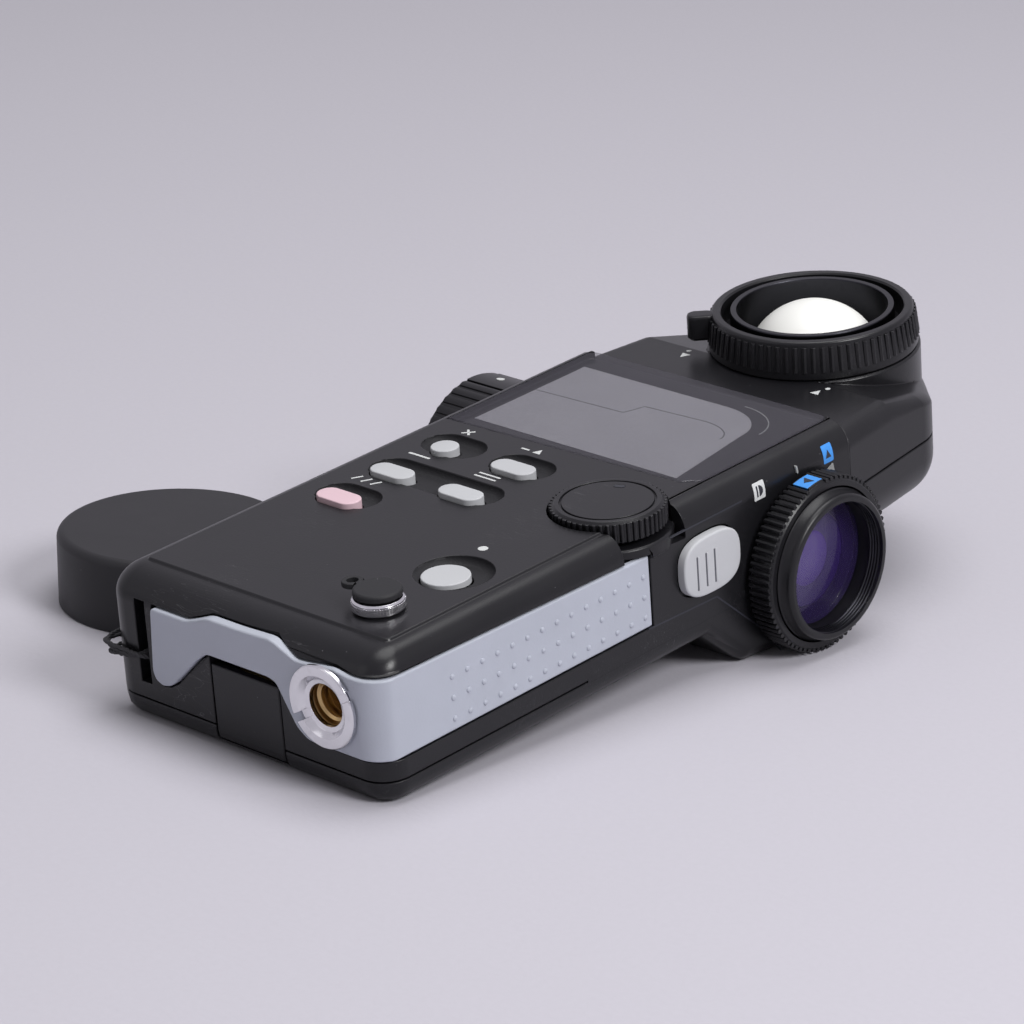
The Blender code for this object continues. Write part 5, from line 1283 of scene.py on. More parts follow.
def round_box(low, high, radius, steps=8):
    """Outline of a rectangle with round corners."""
    corners = ((high[0] - radius, low[1] + radius, -0.5), (high[0] - radius, high[1] - radius, 0),
               (low[0] + radius, high[1] - radius, 0.5), (low[0] + radius, low[1] + radius, 1))
    points = []
    for x, y, turn in corners:
        points += arc((x, y), radius, math.pi * turn, math.pi * (turn + 0.5), steps)
    return points


def make_display():
    """Smoked window with its printed border, and the display under it."""
    publish("window_pane", prism(pane_outline(), window_low.z, window_high.z), "body",
            "display_window", "smoked_window", edge=0.2 * MM)
    low, high = limits("display_panel")
    publish("display_cell", box(low, high), "body", "display_panel",
            "display_grey", edge=0.1 * MM)
    clear, sheet = 0.02 * MM, 0.1 * MM
    top = window_low.z - clear
    mask = prism(grow_outline(pane_outline(), -gap), top - sheet * 2, top - sheet)
    publish("window_border", mask, "body", finish="inner_black")
    left, right, lean = -25.1 * MM, 20.9 * MM, 2.8 * MM
    near, far = 80.9 * MM, 109.0 * MM
    round_x, round_y = 10.0 * MM, 8.0 * MM
    corner = [(right - lean - round_x + round_x * math.sin(t), far - round_y + round_y * math.cos(t))
              for t in [math.pi / 2 * i / 14 for i in range(15)]]
    face = [(left, near), (right, near), *reversed(corner), (left, far)]
    parts = [plate(face, top - sheet, top, "display_grey")]
    wide = 0.2 * MM
    y = 96.3 * MM
    track = [(left, y), (-5.3 * MM, 97.1 * MM), (-4.0 * MM, 101.2 * MM), (9.0 * MM, 102.0 * MM)]
    track += [(9.0 * MM + 7.2 * MM * math.sin(t), 97.5 * MM + 4.5 * MM * math.cos(t))
              for t in [math.pi / 2 * i / 8 for i in range(1, 9)]]
    for a, b in zip(track, track[1:]):
        parts.append(plate(bar(a, b, wide), top - sheet, top + hair * 9, "grey_ink"))
    rim_across, rim_along = 2.2 * MM, 1.9 * MM
    rim = [(x + rim_across, y + rim_along) for x, y in corner]
    parts += [plate(bar(a, b, wide), top - sheet, top, "white_paint") for a, b in zip(rim, rim[1:])]
    publish("display_face", parts, "body")


def make_terminal():
    """Flash terminal with its milled collar, and the rubber cap with its loop."""
    low, high = limits("sync_terminal")
    collar_drop, collar_rise, rim_wall, chamfer = 1.5 * MM, 0.45 * MM, 0.8 * MM, 0.3 * MM
    base = high.z - collar_drop
    radius = (high.x - low.x) / 2
    rim = radius - rim_wall
    top = high.z + collar_rise
    bore = 2.4 * MM
    mill = 0.12 * MM
    root = radius - mill
    profile = ((0, low.z), (sync_stem, low.z), (sync_stem, base), (root - mill, base),
               (root, base + mill), (root, top - chamfer), (root - chamfer, top), (rim, top),
               (rim, high.z), (bore, high.z), (bore, high.z - overrun), (0, high.z - overrun))
    milling = ring_recipe().grow("chrome", {
        "Count": 60, "Skip": 0, "Sides": 6, "Radius": root - hair, "Rise": mill,
        "Width": 0.3 * MM, "Length": top - base - 0.9 * MM},
        Matrix.Translation((sync.x, sync.y, (top + base) / 2 - gap / 3)))
    publish("terminal_collar", [turned(profile, sync.xy, steps=72), milling], "body",
            "sync_terminal", "chrome", edge=0.05 * MM)
    low, high = limits("sync_cap")
    cap_drop, seat_drop, bend = 0.55 * MM, 1.65 * MM, 0.5 * MM
    high.z -= cap_drop
    seat = high.z - seat_drop
    cap = 4.0 * MM
    neck = 3.3 * MM
    plug = 2.1 * MM
    thin = 1.15 * MM
    curve = [(cap - bend + bend * math.cos(t), high.z - bend + bend * math.sin(t))
             for t in [math.pi / 2 * i / 5 for i in range(6)]]
    profile = [(0, low.z), (plug, low.z), (plug, seat), (neck, seat), (neck, high.z - thin),
               (cap, high.z - thin), *curve, (0, high.z)]
    knob = Carving(turned(profile, sync.xy, steps=64), "soft_rubber")
    tab_hole, tab_radius, tab_away, tab_half = 0.95 * MM, 1.8 * MM, 1.5 * MM, 0.6 * MM
    tab_x = sync.x - cap - tab_away
    tab_low = seat + 0.5 * MM
    tab_top = tab_low + 0.95 * MM
    knob.join(turned(((tab_hole, tab_low), (tab_radius, tab_low), (tab_radius, tab_top),
                      (tab_hole, tab_top)), (tab_x, sync.y), steps=40))
    knob.join(box((tab_x + tab_away, sync.y - tab_half, tab_low + hair),
                  (sync.x - neck, sync.y + tab_half, tab_top - hair)))
    publish("terminal_cap", knob.settle(), "sync_cap", "sync_cap",
            edge=0.16 * MM, sharp=40)


def make_tripod():
    """Chrome ring with its spanner slots, and the threaded brass insert."""
    low, high = limits("tripod_ring")
    face = low.y
    flange = 0.8 * MM
    back = face + flange
    outer = (high.x - low.x) / 2
    mouth, bore, throat, collar = 5.3 * MM, 4.7 * MM, 3.6 * MM, 6.0 * MM
    ledge, ledge_edge, slope_end = 1.15 * MM, 0.95 * MM, 0.55 * MM
    slot_half, slot_depth = 0.7 * MM, 1.05 * MM
    centre = (tripod.x, tripod.z)
    edge = 0.2 * MM
    profile = ((mouth, face), (outer - edge, face), (outer, face + edge), (outer, back),
               (collar, back), (collar, high.y), (throat, high.y), (throat, face + ledge),
               (bore - gap, face + ledge_edge), (bore, face + slope_end))
    ring = Carving(turned(profile, centre, "Y"), "chrome")
    slot = box((-outer - overrun, face - overrun, -slot_half),
               (outer + overrun, face + slot_depth, slot_half))
    spin = Matrix.Rotation(-math.radians(30), 4, "Y")
    bmesh.ops.transform(slot, matrix=Matrix.Translation((tripod.x, 0, tripod.z)) @ spin,
                        verts=slot.verts)
    ring.cut(slot)
    publish("clamp_ring", ring.settle(), "body", "tripod_ring", edge=0.06 * MM)
    low, high = limits("tripod_insert")
    bore = 3.1 * MM
    depth = 8.0 * MM
    lead = 0.5 * MM
    profile = ((bore + lead, low.y), (insert_radius, low.y), (insert_radius, high.y),
               (0, high.y), (0, low.y + depth), (bore + gap, low.y + depth),
               (bore + gap, low.y + lead))
    pitch = 1.27 * MM
    turns = 5.0
    place = (Matrix.Translation((tripod.x, low.y + lead, tripod.z))
             @ Matrix.Rotation(-math.pi / 2, 4, "X"))
    thread = thread_recipe().grow("brass", {"Turns": turns, "Radius": bore + gap,
                                            "Length": pitch * turns, "Bead": 0.52 * MM,
                                            "Sides": 4}, place)
    publish("tripod_thread", [turned(profile, centre, "Y", 64), thread], "body",
            "tripod_insert", "brass")


def make_battery():
    """Battery door with its finger groove; the cell and its contacts."""
    smoothed("battery_door", "black_plastic", edge=0.22 * MM, name="battery_lid")
    smoothed("battery_cell", "cell_wrap", edge=0.1 * MM)
    low, high = limits("battery_spring")
    middle = middle_of("battery_spring")
    wire = 0.35 * MM
    place = (Matrix.Translation((middle.x, low.y + wire, middle.z))
             @ Matrix.Rotation(-math.pi / 2, 4, "X"))
    coil = thread_recipe().grow("spring_steel", {"Turns": 3.0, "Radius": 4.2 * MM,
                                                 "Length": high.y - low.y - wire * 2,
                                                 "Bead": wire, "Sides": 10}, place)
    publish("contact_spring", coil, "body", "battery_spring")


def make_strap():
    """Three turns of thin laid cord round the post of the eyelet, crossing outside."""
    low, high = limits("strap_loop")
    inset = 0.3 * MM
    middle = (low + high) / 2 + Vector((inset, inset, 0))
    radius = 0.42 * MM
    half = Vector(((high.x - low.x) / 2 - radius - inset, (high.y - low.y) / 2 - radius - inset))
    turns = 3
    count = 180
    core = []
    for i in range(count + 1):
        t = i / count
        turn = math.tau * turns * t + math.pi * 0.9
        c, s = math.cos(turn), math.sin(turn)
        reach = 1 - 0.16 * math.sin(turn / turns + 1)
        sway = (t - 0.5) * 1.5 * MM + 0.6 * MM * math.sin(turn * (1 + 1 / turns))
        core.append(Vector((middle.x + half.x * reach * math.copysign(abs(c) ** 0.6, c),
                            middle.y + half.y * math.copysign(abs(s) ** 0.6, s),
                            middle.z + sway)))
    publish("strap_cord", laid_cord(core, radius), "body", "strap_loop",
            "braided_cord", sharp=60)


def laid_cord(core, radius):
    """Three strands twisted about a path."""
    strand = radius * 0.52
    offset = radius - strand
    pitch = 2.4 * MM
    run = 0
    normal = None
    paths = [[], [], []]
    for i, point in enumerate(core):
        before = core[max(i - 1, 0)]
        along = (core[min(i + 1, len(core) - 1)] - before).normalized()
        run += (point - before).length
        if normal is None:
            normal = along.orthogonal()
        normal = (normal - along * normal.dot(along)).normalized()
        side = along.cross(normal)
        for k, path in enumerate(paths):
            turn = math.tau * (run / pitch + k / 3)
            path.append(point + (normal * math.cos(turn) + side * math.sin(turn)) * offset)
    return [tube(path, strand, 8) for path in paths]


def make_objective(ribs):
    """Objective barrel with its filter thread, glass, lens and knurled selector ring."""
    low, high = limits("objective_barrel")
    centre = (optic.y, optic.z)
    face = half_width + gap
    drum, rim, wall = 13.2 * MM, 12.67 * MM, 1.3 * MM
    glass_low, glass_high = limits("objective_glass")
    glass = glass_high.y - optic.y
    seat = glass_low.x - gap
    bore = 8.3 * MM
    end = high.x
    soft = 0.75 * MM
    bend = [(rim - soft + soft * math.cos(t), end - soft + soft * math.sin(t))
            for t in [math.pi / 2 * i / 6 for i in range(7)]]
    profile = [(bore, low.x), (neck_radius, low.x), (neck_radius, face), (drum, face),
               (drum, end - 2.5 * MM), (drum - 0.25 * MM, end - 2.2 * MM),
               (rim, end - 1.2 * MM), *bend, (rim - wall, end), (rim - wall, glass_high.x + 1.6 * MM),
               (glass + gap, glass_high.x + 1.1 * MM), (glass + gap, seat), (bore, seat)]
    place = (Matrix.Translation((glass_high.x + 1.9 * MM, optic.y, optic.z))
             @ Matrix.Rotation(math.pi / 2, 4, "Y"))
    turns = 4.5
    thread = thread_recipe().grow("satin_black", {
        "Turns": turns, "Radius": rim - wall + 0.05 * MM,
        "Length": end - glass_high.x - 2.4 * MM, "Bead": 0.27 * MM, "Sides": 6}, place)
    publish("objective_tube", [turned(profile, centre, "X"), thread], "body",
            "objective_barrel", "black_plastic", edge=0.05 * MM)
    publish("filter_glass", disc(glass, glass_low.x, glass_high.x, centre, "X"), "body",
            "objective_glass", "filter_glass", edge=0.08 * MM)
    low, high = limits("front_lens")
    inner = 4.9 * MM
    bulge = 0.7 * MM
    crown = [(inner * math.sin(t), high.x - gap + bulge * math.cos(t))
             for t in [math.pi / 2 * i / 14 for i in range(14, -1, -1)]]
    lens = turned([(0, low.x), (inner, low.x), *crown], centre, "X")
    mount = turned(((inner - gap / 3, low.x), (glass - gap, low.x), (glass - gap, high.x),
                    (inner - gap / 3, high.x - gap / 3)), centre, "X")
    # The lens and its mount take violet finishes that carry painted reflection.
    publish("front_lens_set", [mesh_of(lens, "lens_violet"), mesh_of(mount, "lens_shade")],
            "body", "front_lens")
    low, high = limits("selector_ring")
    tip = (high.y - low.y) / 2
    tooth = 0.45 * MM
    root = tip - tooth
    chamfer = 0.5 * MM
    inside = drum + gap
    profile = ((inside, low.x), (root - chamfer, low.x), (root, low.x + chamfer),
               (root, high.x - chamfer), (root - chamfer, high.x), (inside, high.x))
    place = (Matrix.Translation(((low.x + high.x) / 2, optic.y, optic.z))
             @ Matrix.Rotation(clear_turn(selector_mark, selector_pad, ribs.selector_teeth), 4, "X")
             @ Matrix.Rotation(math.pi / 2, 4, "Y"))
    teeth = ring_recipe().grow("black_plastic", {
        "Count": ribs.selector_teeth, "Skip": selector_pad, "Sides": 6, "Radius": root - hair,
        "Rise": tooth, "Width": 0.86 * MM, "Length": high.x - low.x - chamfer * 0.8}, place)
    parts = [turned(profile, centre, "X"), teeth]
    middle = selector_mark
    width = math.pi / ribs.selector_teeth * selector_pad
    steps = 10
    sweep = [middle - width + 2 * width * i / steps for i in range(steps + 1)]
    for start, stop, inside, sunk, finish in (
            (0.5 * MM, 0.55 * MM, root - gap, 0.08 * MM, "black_plastic"),
            (0.75 * MM, 0.8 * MM, root, 0.03 * MM, "blue_paint")):
        parts.append(curved_patch(sweep, low.x + start, high.x - stop, inside, tip - sunk, finish))
    across = (low.x + high.x) / 2
    arrow_half, arrow_sunk = 1.1 * MM, 0.02 * MM
    arrow = [(across - arrow_half, middle - width * 0.25),
             (across + arrow_half, middle - width * 0.25), (across, middle + width * 0.45)]
    parts.append(curved_mark(arrow, tip - arrow_sunk, "dark_ink"))
    publish("selector_knurl", parts, "selector", "selector_ring",
            "black_plastic", edge=0.06 * MM)


selector_pad = 3
selector_mark = math.radians(96.5)


def clear_turn(mark, pad, count):
    """Turn of a ring's ridges that puts the gap of the skipped ones at a mark."""
    return mark + math.pi / 2 - math.pi / count * (pad - 1)


def mesh_of(bm, finish):
    """A drawn mesh with its own finish."""
    bmesh.ops.recalc_face_normals(bm, faces=bm.faces)
    mesh = bpy.data.meshes.new("part")
    bm.to_mesh(mesh)
    bm.free()
    mesh.materials.append(Finish.made[finish])
    return mesh


def curved_patch(sweep, start, stop, low, high, finish):
    """Block that follows a ring between two radii and two places on the axis."""
    levels = []
    for turn in sweep:
        c, s = math.cos(turn), math.sin(turn)
        levels.append([(start, optic.y + low * c, optic.z + low * s),
                       (stop, optic.y + low * c, optic.z + low * s),
                       (stop, optic.y + high * c, optic.z + high * s),
                       (start, optic.y + high * c, optic.z + high * s)])
    bm = bmesh.new()
    rings = [[bm.verts.new(point) for point in level] for level in levels]
    for lower, upper in zip(rings, rings[1:]):
        for i in range(4):
            j = (i + 1) % 4
            bm.faces.new((lower[i], lower[j], upper[j], upper[i]))
    bm.faces.new(rings[0])
    bm.faces.new(rings[-1])
    return mesh_of(bm, finish)


def curved_mark(points, radius, finish):
    """Small printed shape on a ring, from places on the axis and angles."""
    bm = bmesh.new()
    for outline_radius in (radius, radius + hair * 20):
        corners = [bm.verts.new((along, optic.y + outline_radius * math.cos(turn),
                                 optic.z + outline_radius * math.sin(turn)))
                   for along, turn in points]
        bm.faces.new(corners)
    lower, upper = bm.verts[:len(points)], bm.verts[len(points):]
    for i in range(len(points)):
        j = (i + 1) % len(points)
        bm.faces.new((lower[i], lower[j], upper[j], upper[i]))
    return mesh_of(bm, finish)


zoom_pad = 3
zoom_mark = math.radians(80)


def make_eyepiece(ribs):
    """Zoom ring with ribs and an index pad, sight ring and eye cup."""
    centre = (optic.y, optic.z)
    low, high = limits("zoom_ring")
    tip = (high.y - low.y) / 2
    rise = 0.42 * MM
    root = tip - rise + 0.1 * MM
    inside = 12.2 * MM + gap
    chamfer = 0.45 * MM
    profile = ((inside, high.x), (root - chamfer, high.x), (root, high.x - chamfer),
               (root, low.x + chamfer), (root - chamfer, low.x), (inside, low.x))
    pitch = math.tau / ribs.zoom_ribs
    zoom_turn = clear_turn(zoom_mark, zoom_pad, ribs.zoom_ribs)
    place = (Matrix.Translation(((low.x + high.x) / 2, optic.y, optic.z))
             @ Matrix.Rotation(zoom_turn, 4, "X") @ Matrix.Rotation(math.pi / 2, 4, "Y"))
    ridge = ring_recipe().grow("black_plastic", {
        "Count": ribs.zoom_ribs, "Skip": zoom_pad, "Sides": 6, "Radius": root - hair,
        "Rise": rise, "Width": 1.9 * MM, "Length": high.x - low.x - chamfer * 3}, place)
    sweep = [zoom_mark + pitch * zoom_pad / 2 * share / 4 for share in range(-4, 5)]
    pad = curved_patch(sweep, low.x + chamfer * 1.5, high.x - chamfer * 1.5, root - gap,
                       root + rise * 0.9, "black_plastic")
    dot_place, dot_half, dot_turn = high.x - 7.5 * MM, 0.75 * MM, 0.05
    dot = [(dot_place + dot_half * math.cos(t), zoom_mark + dot_turn * math.sin(t))
           for t in [math.tau * i / 14 for i in range(14)]]
    dot = curved_mark(dot, root + rise * 0.9, "white_paint")
    publish("zoom_grip_ring", [turned(profile, centre, "X"), ridge, pad, dot], "zoom", "zoom_ring",
            "black_plastic", edge=0.1 * MM)
    low, high = limits("diopter_ring")
    radius = (high.y - low.y) / 2
    bore, rise = 8.3 * MM, 0.3 * MM
    root = radius - rise
    profile = ((bore, high.x), (root, high.x), (root, low.x), (bore, low.x))
    place = (Matrix.Translation(((low.x + high.x) / 2, optic.y, optic.z))
             @ Matrix.Rotation(math.pi / 2, 4, "Y"))
    knurl = ring_recipe().grow("black_plastic", {
        "Count": 90, "Skip": 0, "Sides": 6, "Radius": root, "Rise": rise,
        "Width": 0.5 * MM, "Length": high.x - low.x - gap}, place)
    publish("sight_ring", [turned(profile, centre, "X"), knurl], "sight", "diopter_ring",
            "black_plastic")
    low, high = limits("eyecup")
    radius = (high.y - low.y) / 2
    lip = 0.7 * MM
    bend = [(radius - lip + lip * math.cos(t), low.x + lip - lip * math.sin(t))
            for t in [math.pi / 2 * i / 6 for i in range(7)]]
    mouth, throat = 10.6 * MM, 9.6 * MM
    profile = [(bore, high.x), (radius, high.x), *bend, (mouth, low.x), (throat, low.x + lip)]
    publish("eye_cup", turned(profile, centre, "X"), "sight", "eyecup",
            "soft_rubber")
    for node, name in (("eyepiece_lens", "eye_lens"), ("zoom_lens", "moving_lens")):
        low, high = limits(node)
        radius = (high.y - low.y) / 2
        crown = 1.0 * MM
        count = 12
        front = [(radius * math.sin(math.pi / 2 * i / count),
                  high.x - crown * (1 - math.cos(math.pi / 2 * i / count)))
                 for i in range(count, -1, -1)]
        back = [(r, low.x + high.x - x) for r, x in reversed(front)]
        publish(name, turned(back + front, centre, "X", 64), frame["nodes"][node]["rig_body"],
                node, "coated_glass")
    smoothed("eyepiece_barrel", "inner_black", edge=0.05 * MM, name="eyepiece_tube")


head_half = limits("head_shell")[1].x
head_start = limits("head_shell")[0].y
head_end = limits("head_shell")[1].y
head_high = limits("head_shell")[1].z
head_low = limits("head_cover")[0].z
head_split = limits("head_shell")[0].z
head_round = head_end - dome.y
head_top_fillet = 3.5 * MM
head_low_width = 7.0 * MM
head_low_height = 7.5 * MM
head_front = 1.5 * MM
head_wall = 2.2 * MM
shoulder_radius = 10.0 * MM
shoulder_side = 18.0 * MM
shoulder_back = 5.6 * MM
deck_start = head_start + 14.0 * MM
deck_slope = math.tan(math.radians(14.6))
drum_radius = 18.9 * MM


def head_outline(inset, front=0):
    """Plan of the head: sides that close in a little, shoulders and the round end."""
    radius = shoulder_radius - inset
    near = head_start + front
    across = head_half - inset - shoulder_side
    back = near - dome.y + shoulder_back
    begin = math.atan2(back, across) + math.acos(radius / math.hypot(across, back))
    turn = (math.acos((head_round - shoulder_radius) / math.hypot(shoulder_side, shoulder_back))
            - math.atan2(shoulder_back, shoulder_side))
    right = arc((shoulder_side, dome.y - shoulder_back), radius, begin, turn, 12)
    end = arc((0, dome.y), head_round - inset, turn, math.pi - turn, 40)
    left = [(-x, y) for x, y in reversed(right)]
    side = head_half - inset
    return [(side, near)] + right + end + left + [(-side, near)]


def head_levels():
    """Heights of the head with their insets, from the bottom up."""
    levels = []
    for i in range(fine_steps + 1):
        turn = math.pi / 2 * i / fine_steps
        levels.append((head_low_width * (1 - math.sin(turn)), head_front * (1 - math.sin(turn)),
                       head_low + head_low_height * (1 - math.cos(turn))))
    top = head_high - head_top_fillet
    for i in range(fine_steps + 1):
        turn = math.pi / 2 * i / fine_steps
        levels.append((head_top_fillet * (1 - math.cos(turn)), head_front * (1 - math.cos(turn)),
                       top + head_top_fillet * math.sin(turn)))
    return levels


def sloped(bm):
    """Let the top of the head sink towards its round end."""
    bmesh.ops.bisect_plane(bm, geom=bm.verts[:] + bm.edges[:] + bm.faces[:], dist=hair,
                           plane_co=(0, deck_start, 0), plane_no=(0, 1, 0))
    edge = head_high - head_top_fillet
    for vertex in bm.verts:
        past = vertex.co.y - deck_start
        if past > 0 and vertex.co.z > edge - hair:
            flat_share = 0.45 * min(past / shoulder_radius, 1)
            depth = (head_high - vertex.co.z) * (1 - flat_share)
            vertex.co.z = head_high - past * deck_slope - depth
    return bm


def make_head():
    """Two halves of the head with their seam."""
    split = (head_split + limits("head_cover")[1].z) / 2
    centre = dome.xy
    axle = (0, axle_share * body_length)
    levels = [(head_outline(inset, front), height) for inset, front, height in head_levels()]
    well = (ring_high.x - ring_low.x) / 2
    limit = half_width + overrun
    wall = head_wall

    upper = Carving(sloped(stack(levels)))
    upper.join(turned(((0, head_split + wall), (drum_radius, head_split + wall),
                       (drum_radius, head_high - gap), (drum_radius - gap, head_high),
                       (0, head_high)), centre))
    upper.cut(box((-limit, body_length - overrun, head_low - overrun),
                  (limit, head_end + overrun, head_split)))
    plan = [(x, max(y, head_start + wall)) for x, y in head_outline(wall)]
    hollow = Carving(prism(plan, head_split - overrun, head_high - wall), "inner_black")
    fall = deck_slope * (head_end - deck_start)
    hollow.cut(prism(((deck_start, head_high - wall), (head_end, head_high - wall - fall),
                      (head_end, head_high)), -limit, limit, "X"))
    upper.cut(hollow)
    upper.cut(disc(well + gap, head_split - overrun, head_high + overrun, centre))
    upper.cut(disc(shaft_radius + gap, head_start - overrun, head_start + wall + overrun, axle, "Y"))
    publish("head_housing", upper.settle(), "head", "head_shell",
            edge=0.16 * MM, sharp=13)

    high = split * 2 - head_split
    lower = Carving(stack(levels))
    lower.cut(box((-limit, body_length - overrun, high),
                  (limit, head_end + overrun, head_high + overrun)))
    plan = [(x, max(y, head_start + wall)) for x, y in head_outline(wall + head_low_width / 2)]
    lower.cut(prism(plan, head_low + wall, high + overrun), "inner_black")
    lower.cut(disc(well + gap, head_split - overrun, head_high, centre))
    lower.cut(disc(shaft_radius + gap, head_start - overrun, head_start + wall + overrun, axle, "Y"))
    publish("head_underside", lower.settle(), "head", "head_cover",
            edge=0.16 * MM, sharp=13)


def make_dome(ribs):
    """Opal dome, its well and the ridged ring that lifts it."""
    centre = dome.xy
    low, high = limits("lumisphere_ring")
    foot_z, top = low.z, high.z
    foot, tip, tooth = 19.0 * MM, 18.3 * MM, 0.45 * MM
    bore, ledge = 16.1 * MM, 2.4 * MM
    well = (ring_high.x - ring_low.x) / 2
    root_foot, root_tip = foot - tooth, tip - tooth
    band = 1.3 * MM
    rim = 0.55 * MM
    profile = [(well + gap, foot_z), (root_foot, foot_z), (root_foot, foot_z + band),
               (root_tip, top - rim)]
    profile += [(root_tip - rim + rim * math.cos(t), top - rim + rim * math.sin(t))
                for t in [math.pi / 2 * i / 5 for i in range(1, 6)]]
    profile += [(bore + gap, top), (bore, top - gap), (bore, foot_z + ledge),
                (well + gap, foot_z + ledge)]
    length = top - foot_z - band - rim * 1.6
    lean = math.atan2(foot - tip, top - foot_z)
    ridges = ring_recipe().grow("black_plastic", {
        "Count": ribs.dome_ridges, "Skip": 0, "Sides": 6, "Radius": (root_foot + root_tip) / 2,
        "Rise": tooth * 0.85, "Width": 1.0 * MM, "Length": length},
        Matrix.Translation((0, dome.y, foot_z + band + length / 2)))
    for vertex in ridges.vertices:
        flat = Vector((vertex.co.x, vertex.co.y - dome.y))
        rise = vertex.co.z - (foot_z + top) / 2
        flat = flat * (1 - math.tan(lean) * rise / flat.length)
        vertex.co = (flat.x, flat.y + dome.y, vertex.co.z)
    turn = -math.pi / 2 - math.radians(46)
    inner = (bore + tip) / 2
    lug_reach = 22.2 * MM
    length = lug_reach - inner
    lug_height = 4.7 * MM
    lug_half = 1.8 * MM
    levels = []
    for inset, z in ((0.5 * MM, top - lug_height), (0, top - lug_height + 0.5 * MM),
                     (0, top - 0.6 * MM), (0.18 * MM, top - 0.18 * MM), (0.6 * MM, top)):
        levels.append((round_box((-length / 2 + inset, inset - lug_half),
                                 (length / 2 - inset, lug_half - inset), 1.5 * MM - inset, 6), z))
    lug = stack(levels)
    spot = Vector(((inner + length / 2) * math.cos(turn),
                   dome.y + (inner + length / 2) * math.sin(turn), 0))
    bmesh.ops.transform(lug, matrix=Matrix.Translation(spot) @ Matrix.Rotation(turn, 4, "Z"),
                        verts=lug.verts)
    publish("dome_lift_ring", [turned(profile, centre), ridges, lug], "dome_ring",
            "lumisphere_ring", "black_plastic", edge=0.06 * MM)

    low, high = limits("light_well")
    inner, floor = 13.25 * MM, low.z + 1.2 * MM
    hole = 3.9 * MM
    soft = 0.35 * MM
    profile = ((hole, low.z), (well, low.z), (well, high.z - soft), (well - soft / 2, high.z),
               (inner + soft / 2, high.z), (inner, high.z - soft), (inner, floor), (hole, floor))
    publish("dome_well", turned(profile, centre), "head", "light_well",
            "satin_black", edge=0.05 * MM)
    low, high = limits("lumisphere_dome")
    radius = (high.x - low.x) / 2
    base = high.z - radius
    outer = arc((0, base), radius, 0, math.pi / 2, 28)
    inside = arc((0, base), radius - 1.2 * MM, math.pi / 2, 0, 16)
    publish("opal_dome", turned(outer[:-1] + [(0, high.z)] + [(0, inside[0][1])] + inside[1:],
                                centre), "dome", "lumisphere_dome", "opal_dome",
            sharp=60)


def make_cap():
    """Lens cap that lies beside the meter."""
    radius = (cap_high.x - cap_low.x) / 2
    height = cap_high.z
    wall, roof, bend_radius = 1.9 * MM, 2.0 * MM, 1.5 * MM
    bend = arc((radius - bend_radius, height - bend_radius), bend_radius, 0, math.pi / 2, 10)
    inner = radius - wall
    profile = [(inner, 0), (radius - 0.25 * MM, 0), (radius, 0.25 * MM), *bend, (0, height),
               (0, height - roof), (inner, height - roof)]
    publish("lens_cap_form", turned(profile, (0, 0), steps=128), "lens_cap", "lens_cap",
            "cap_plastic", edge=0.1 * MM, place=CAP)


def fitted(outlines, finish, proud):
    """Printed shapes, drawn in y and z, that follow the round right shoulder of the body."""
    meshes = []
    for outline in outlines:
        mark = Carving(prism(outline, half_width - body_wall, half_width + overrun, "X"), finish)
        mark.keep(front_form(parting_low + gap, proud), finish)
        meshes.append(mark.settle())
    return meshes


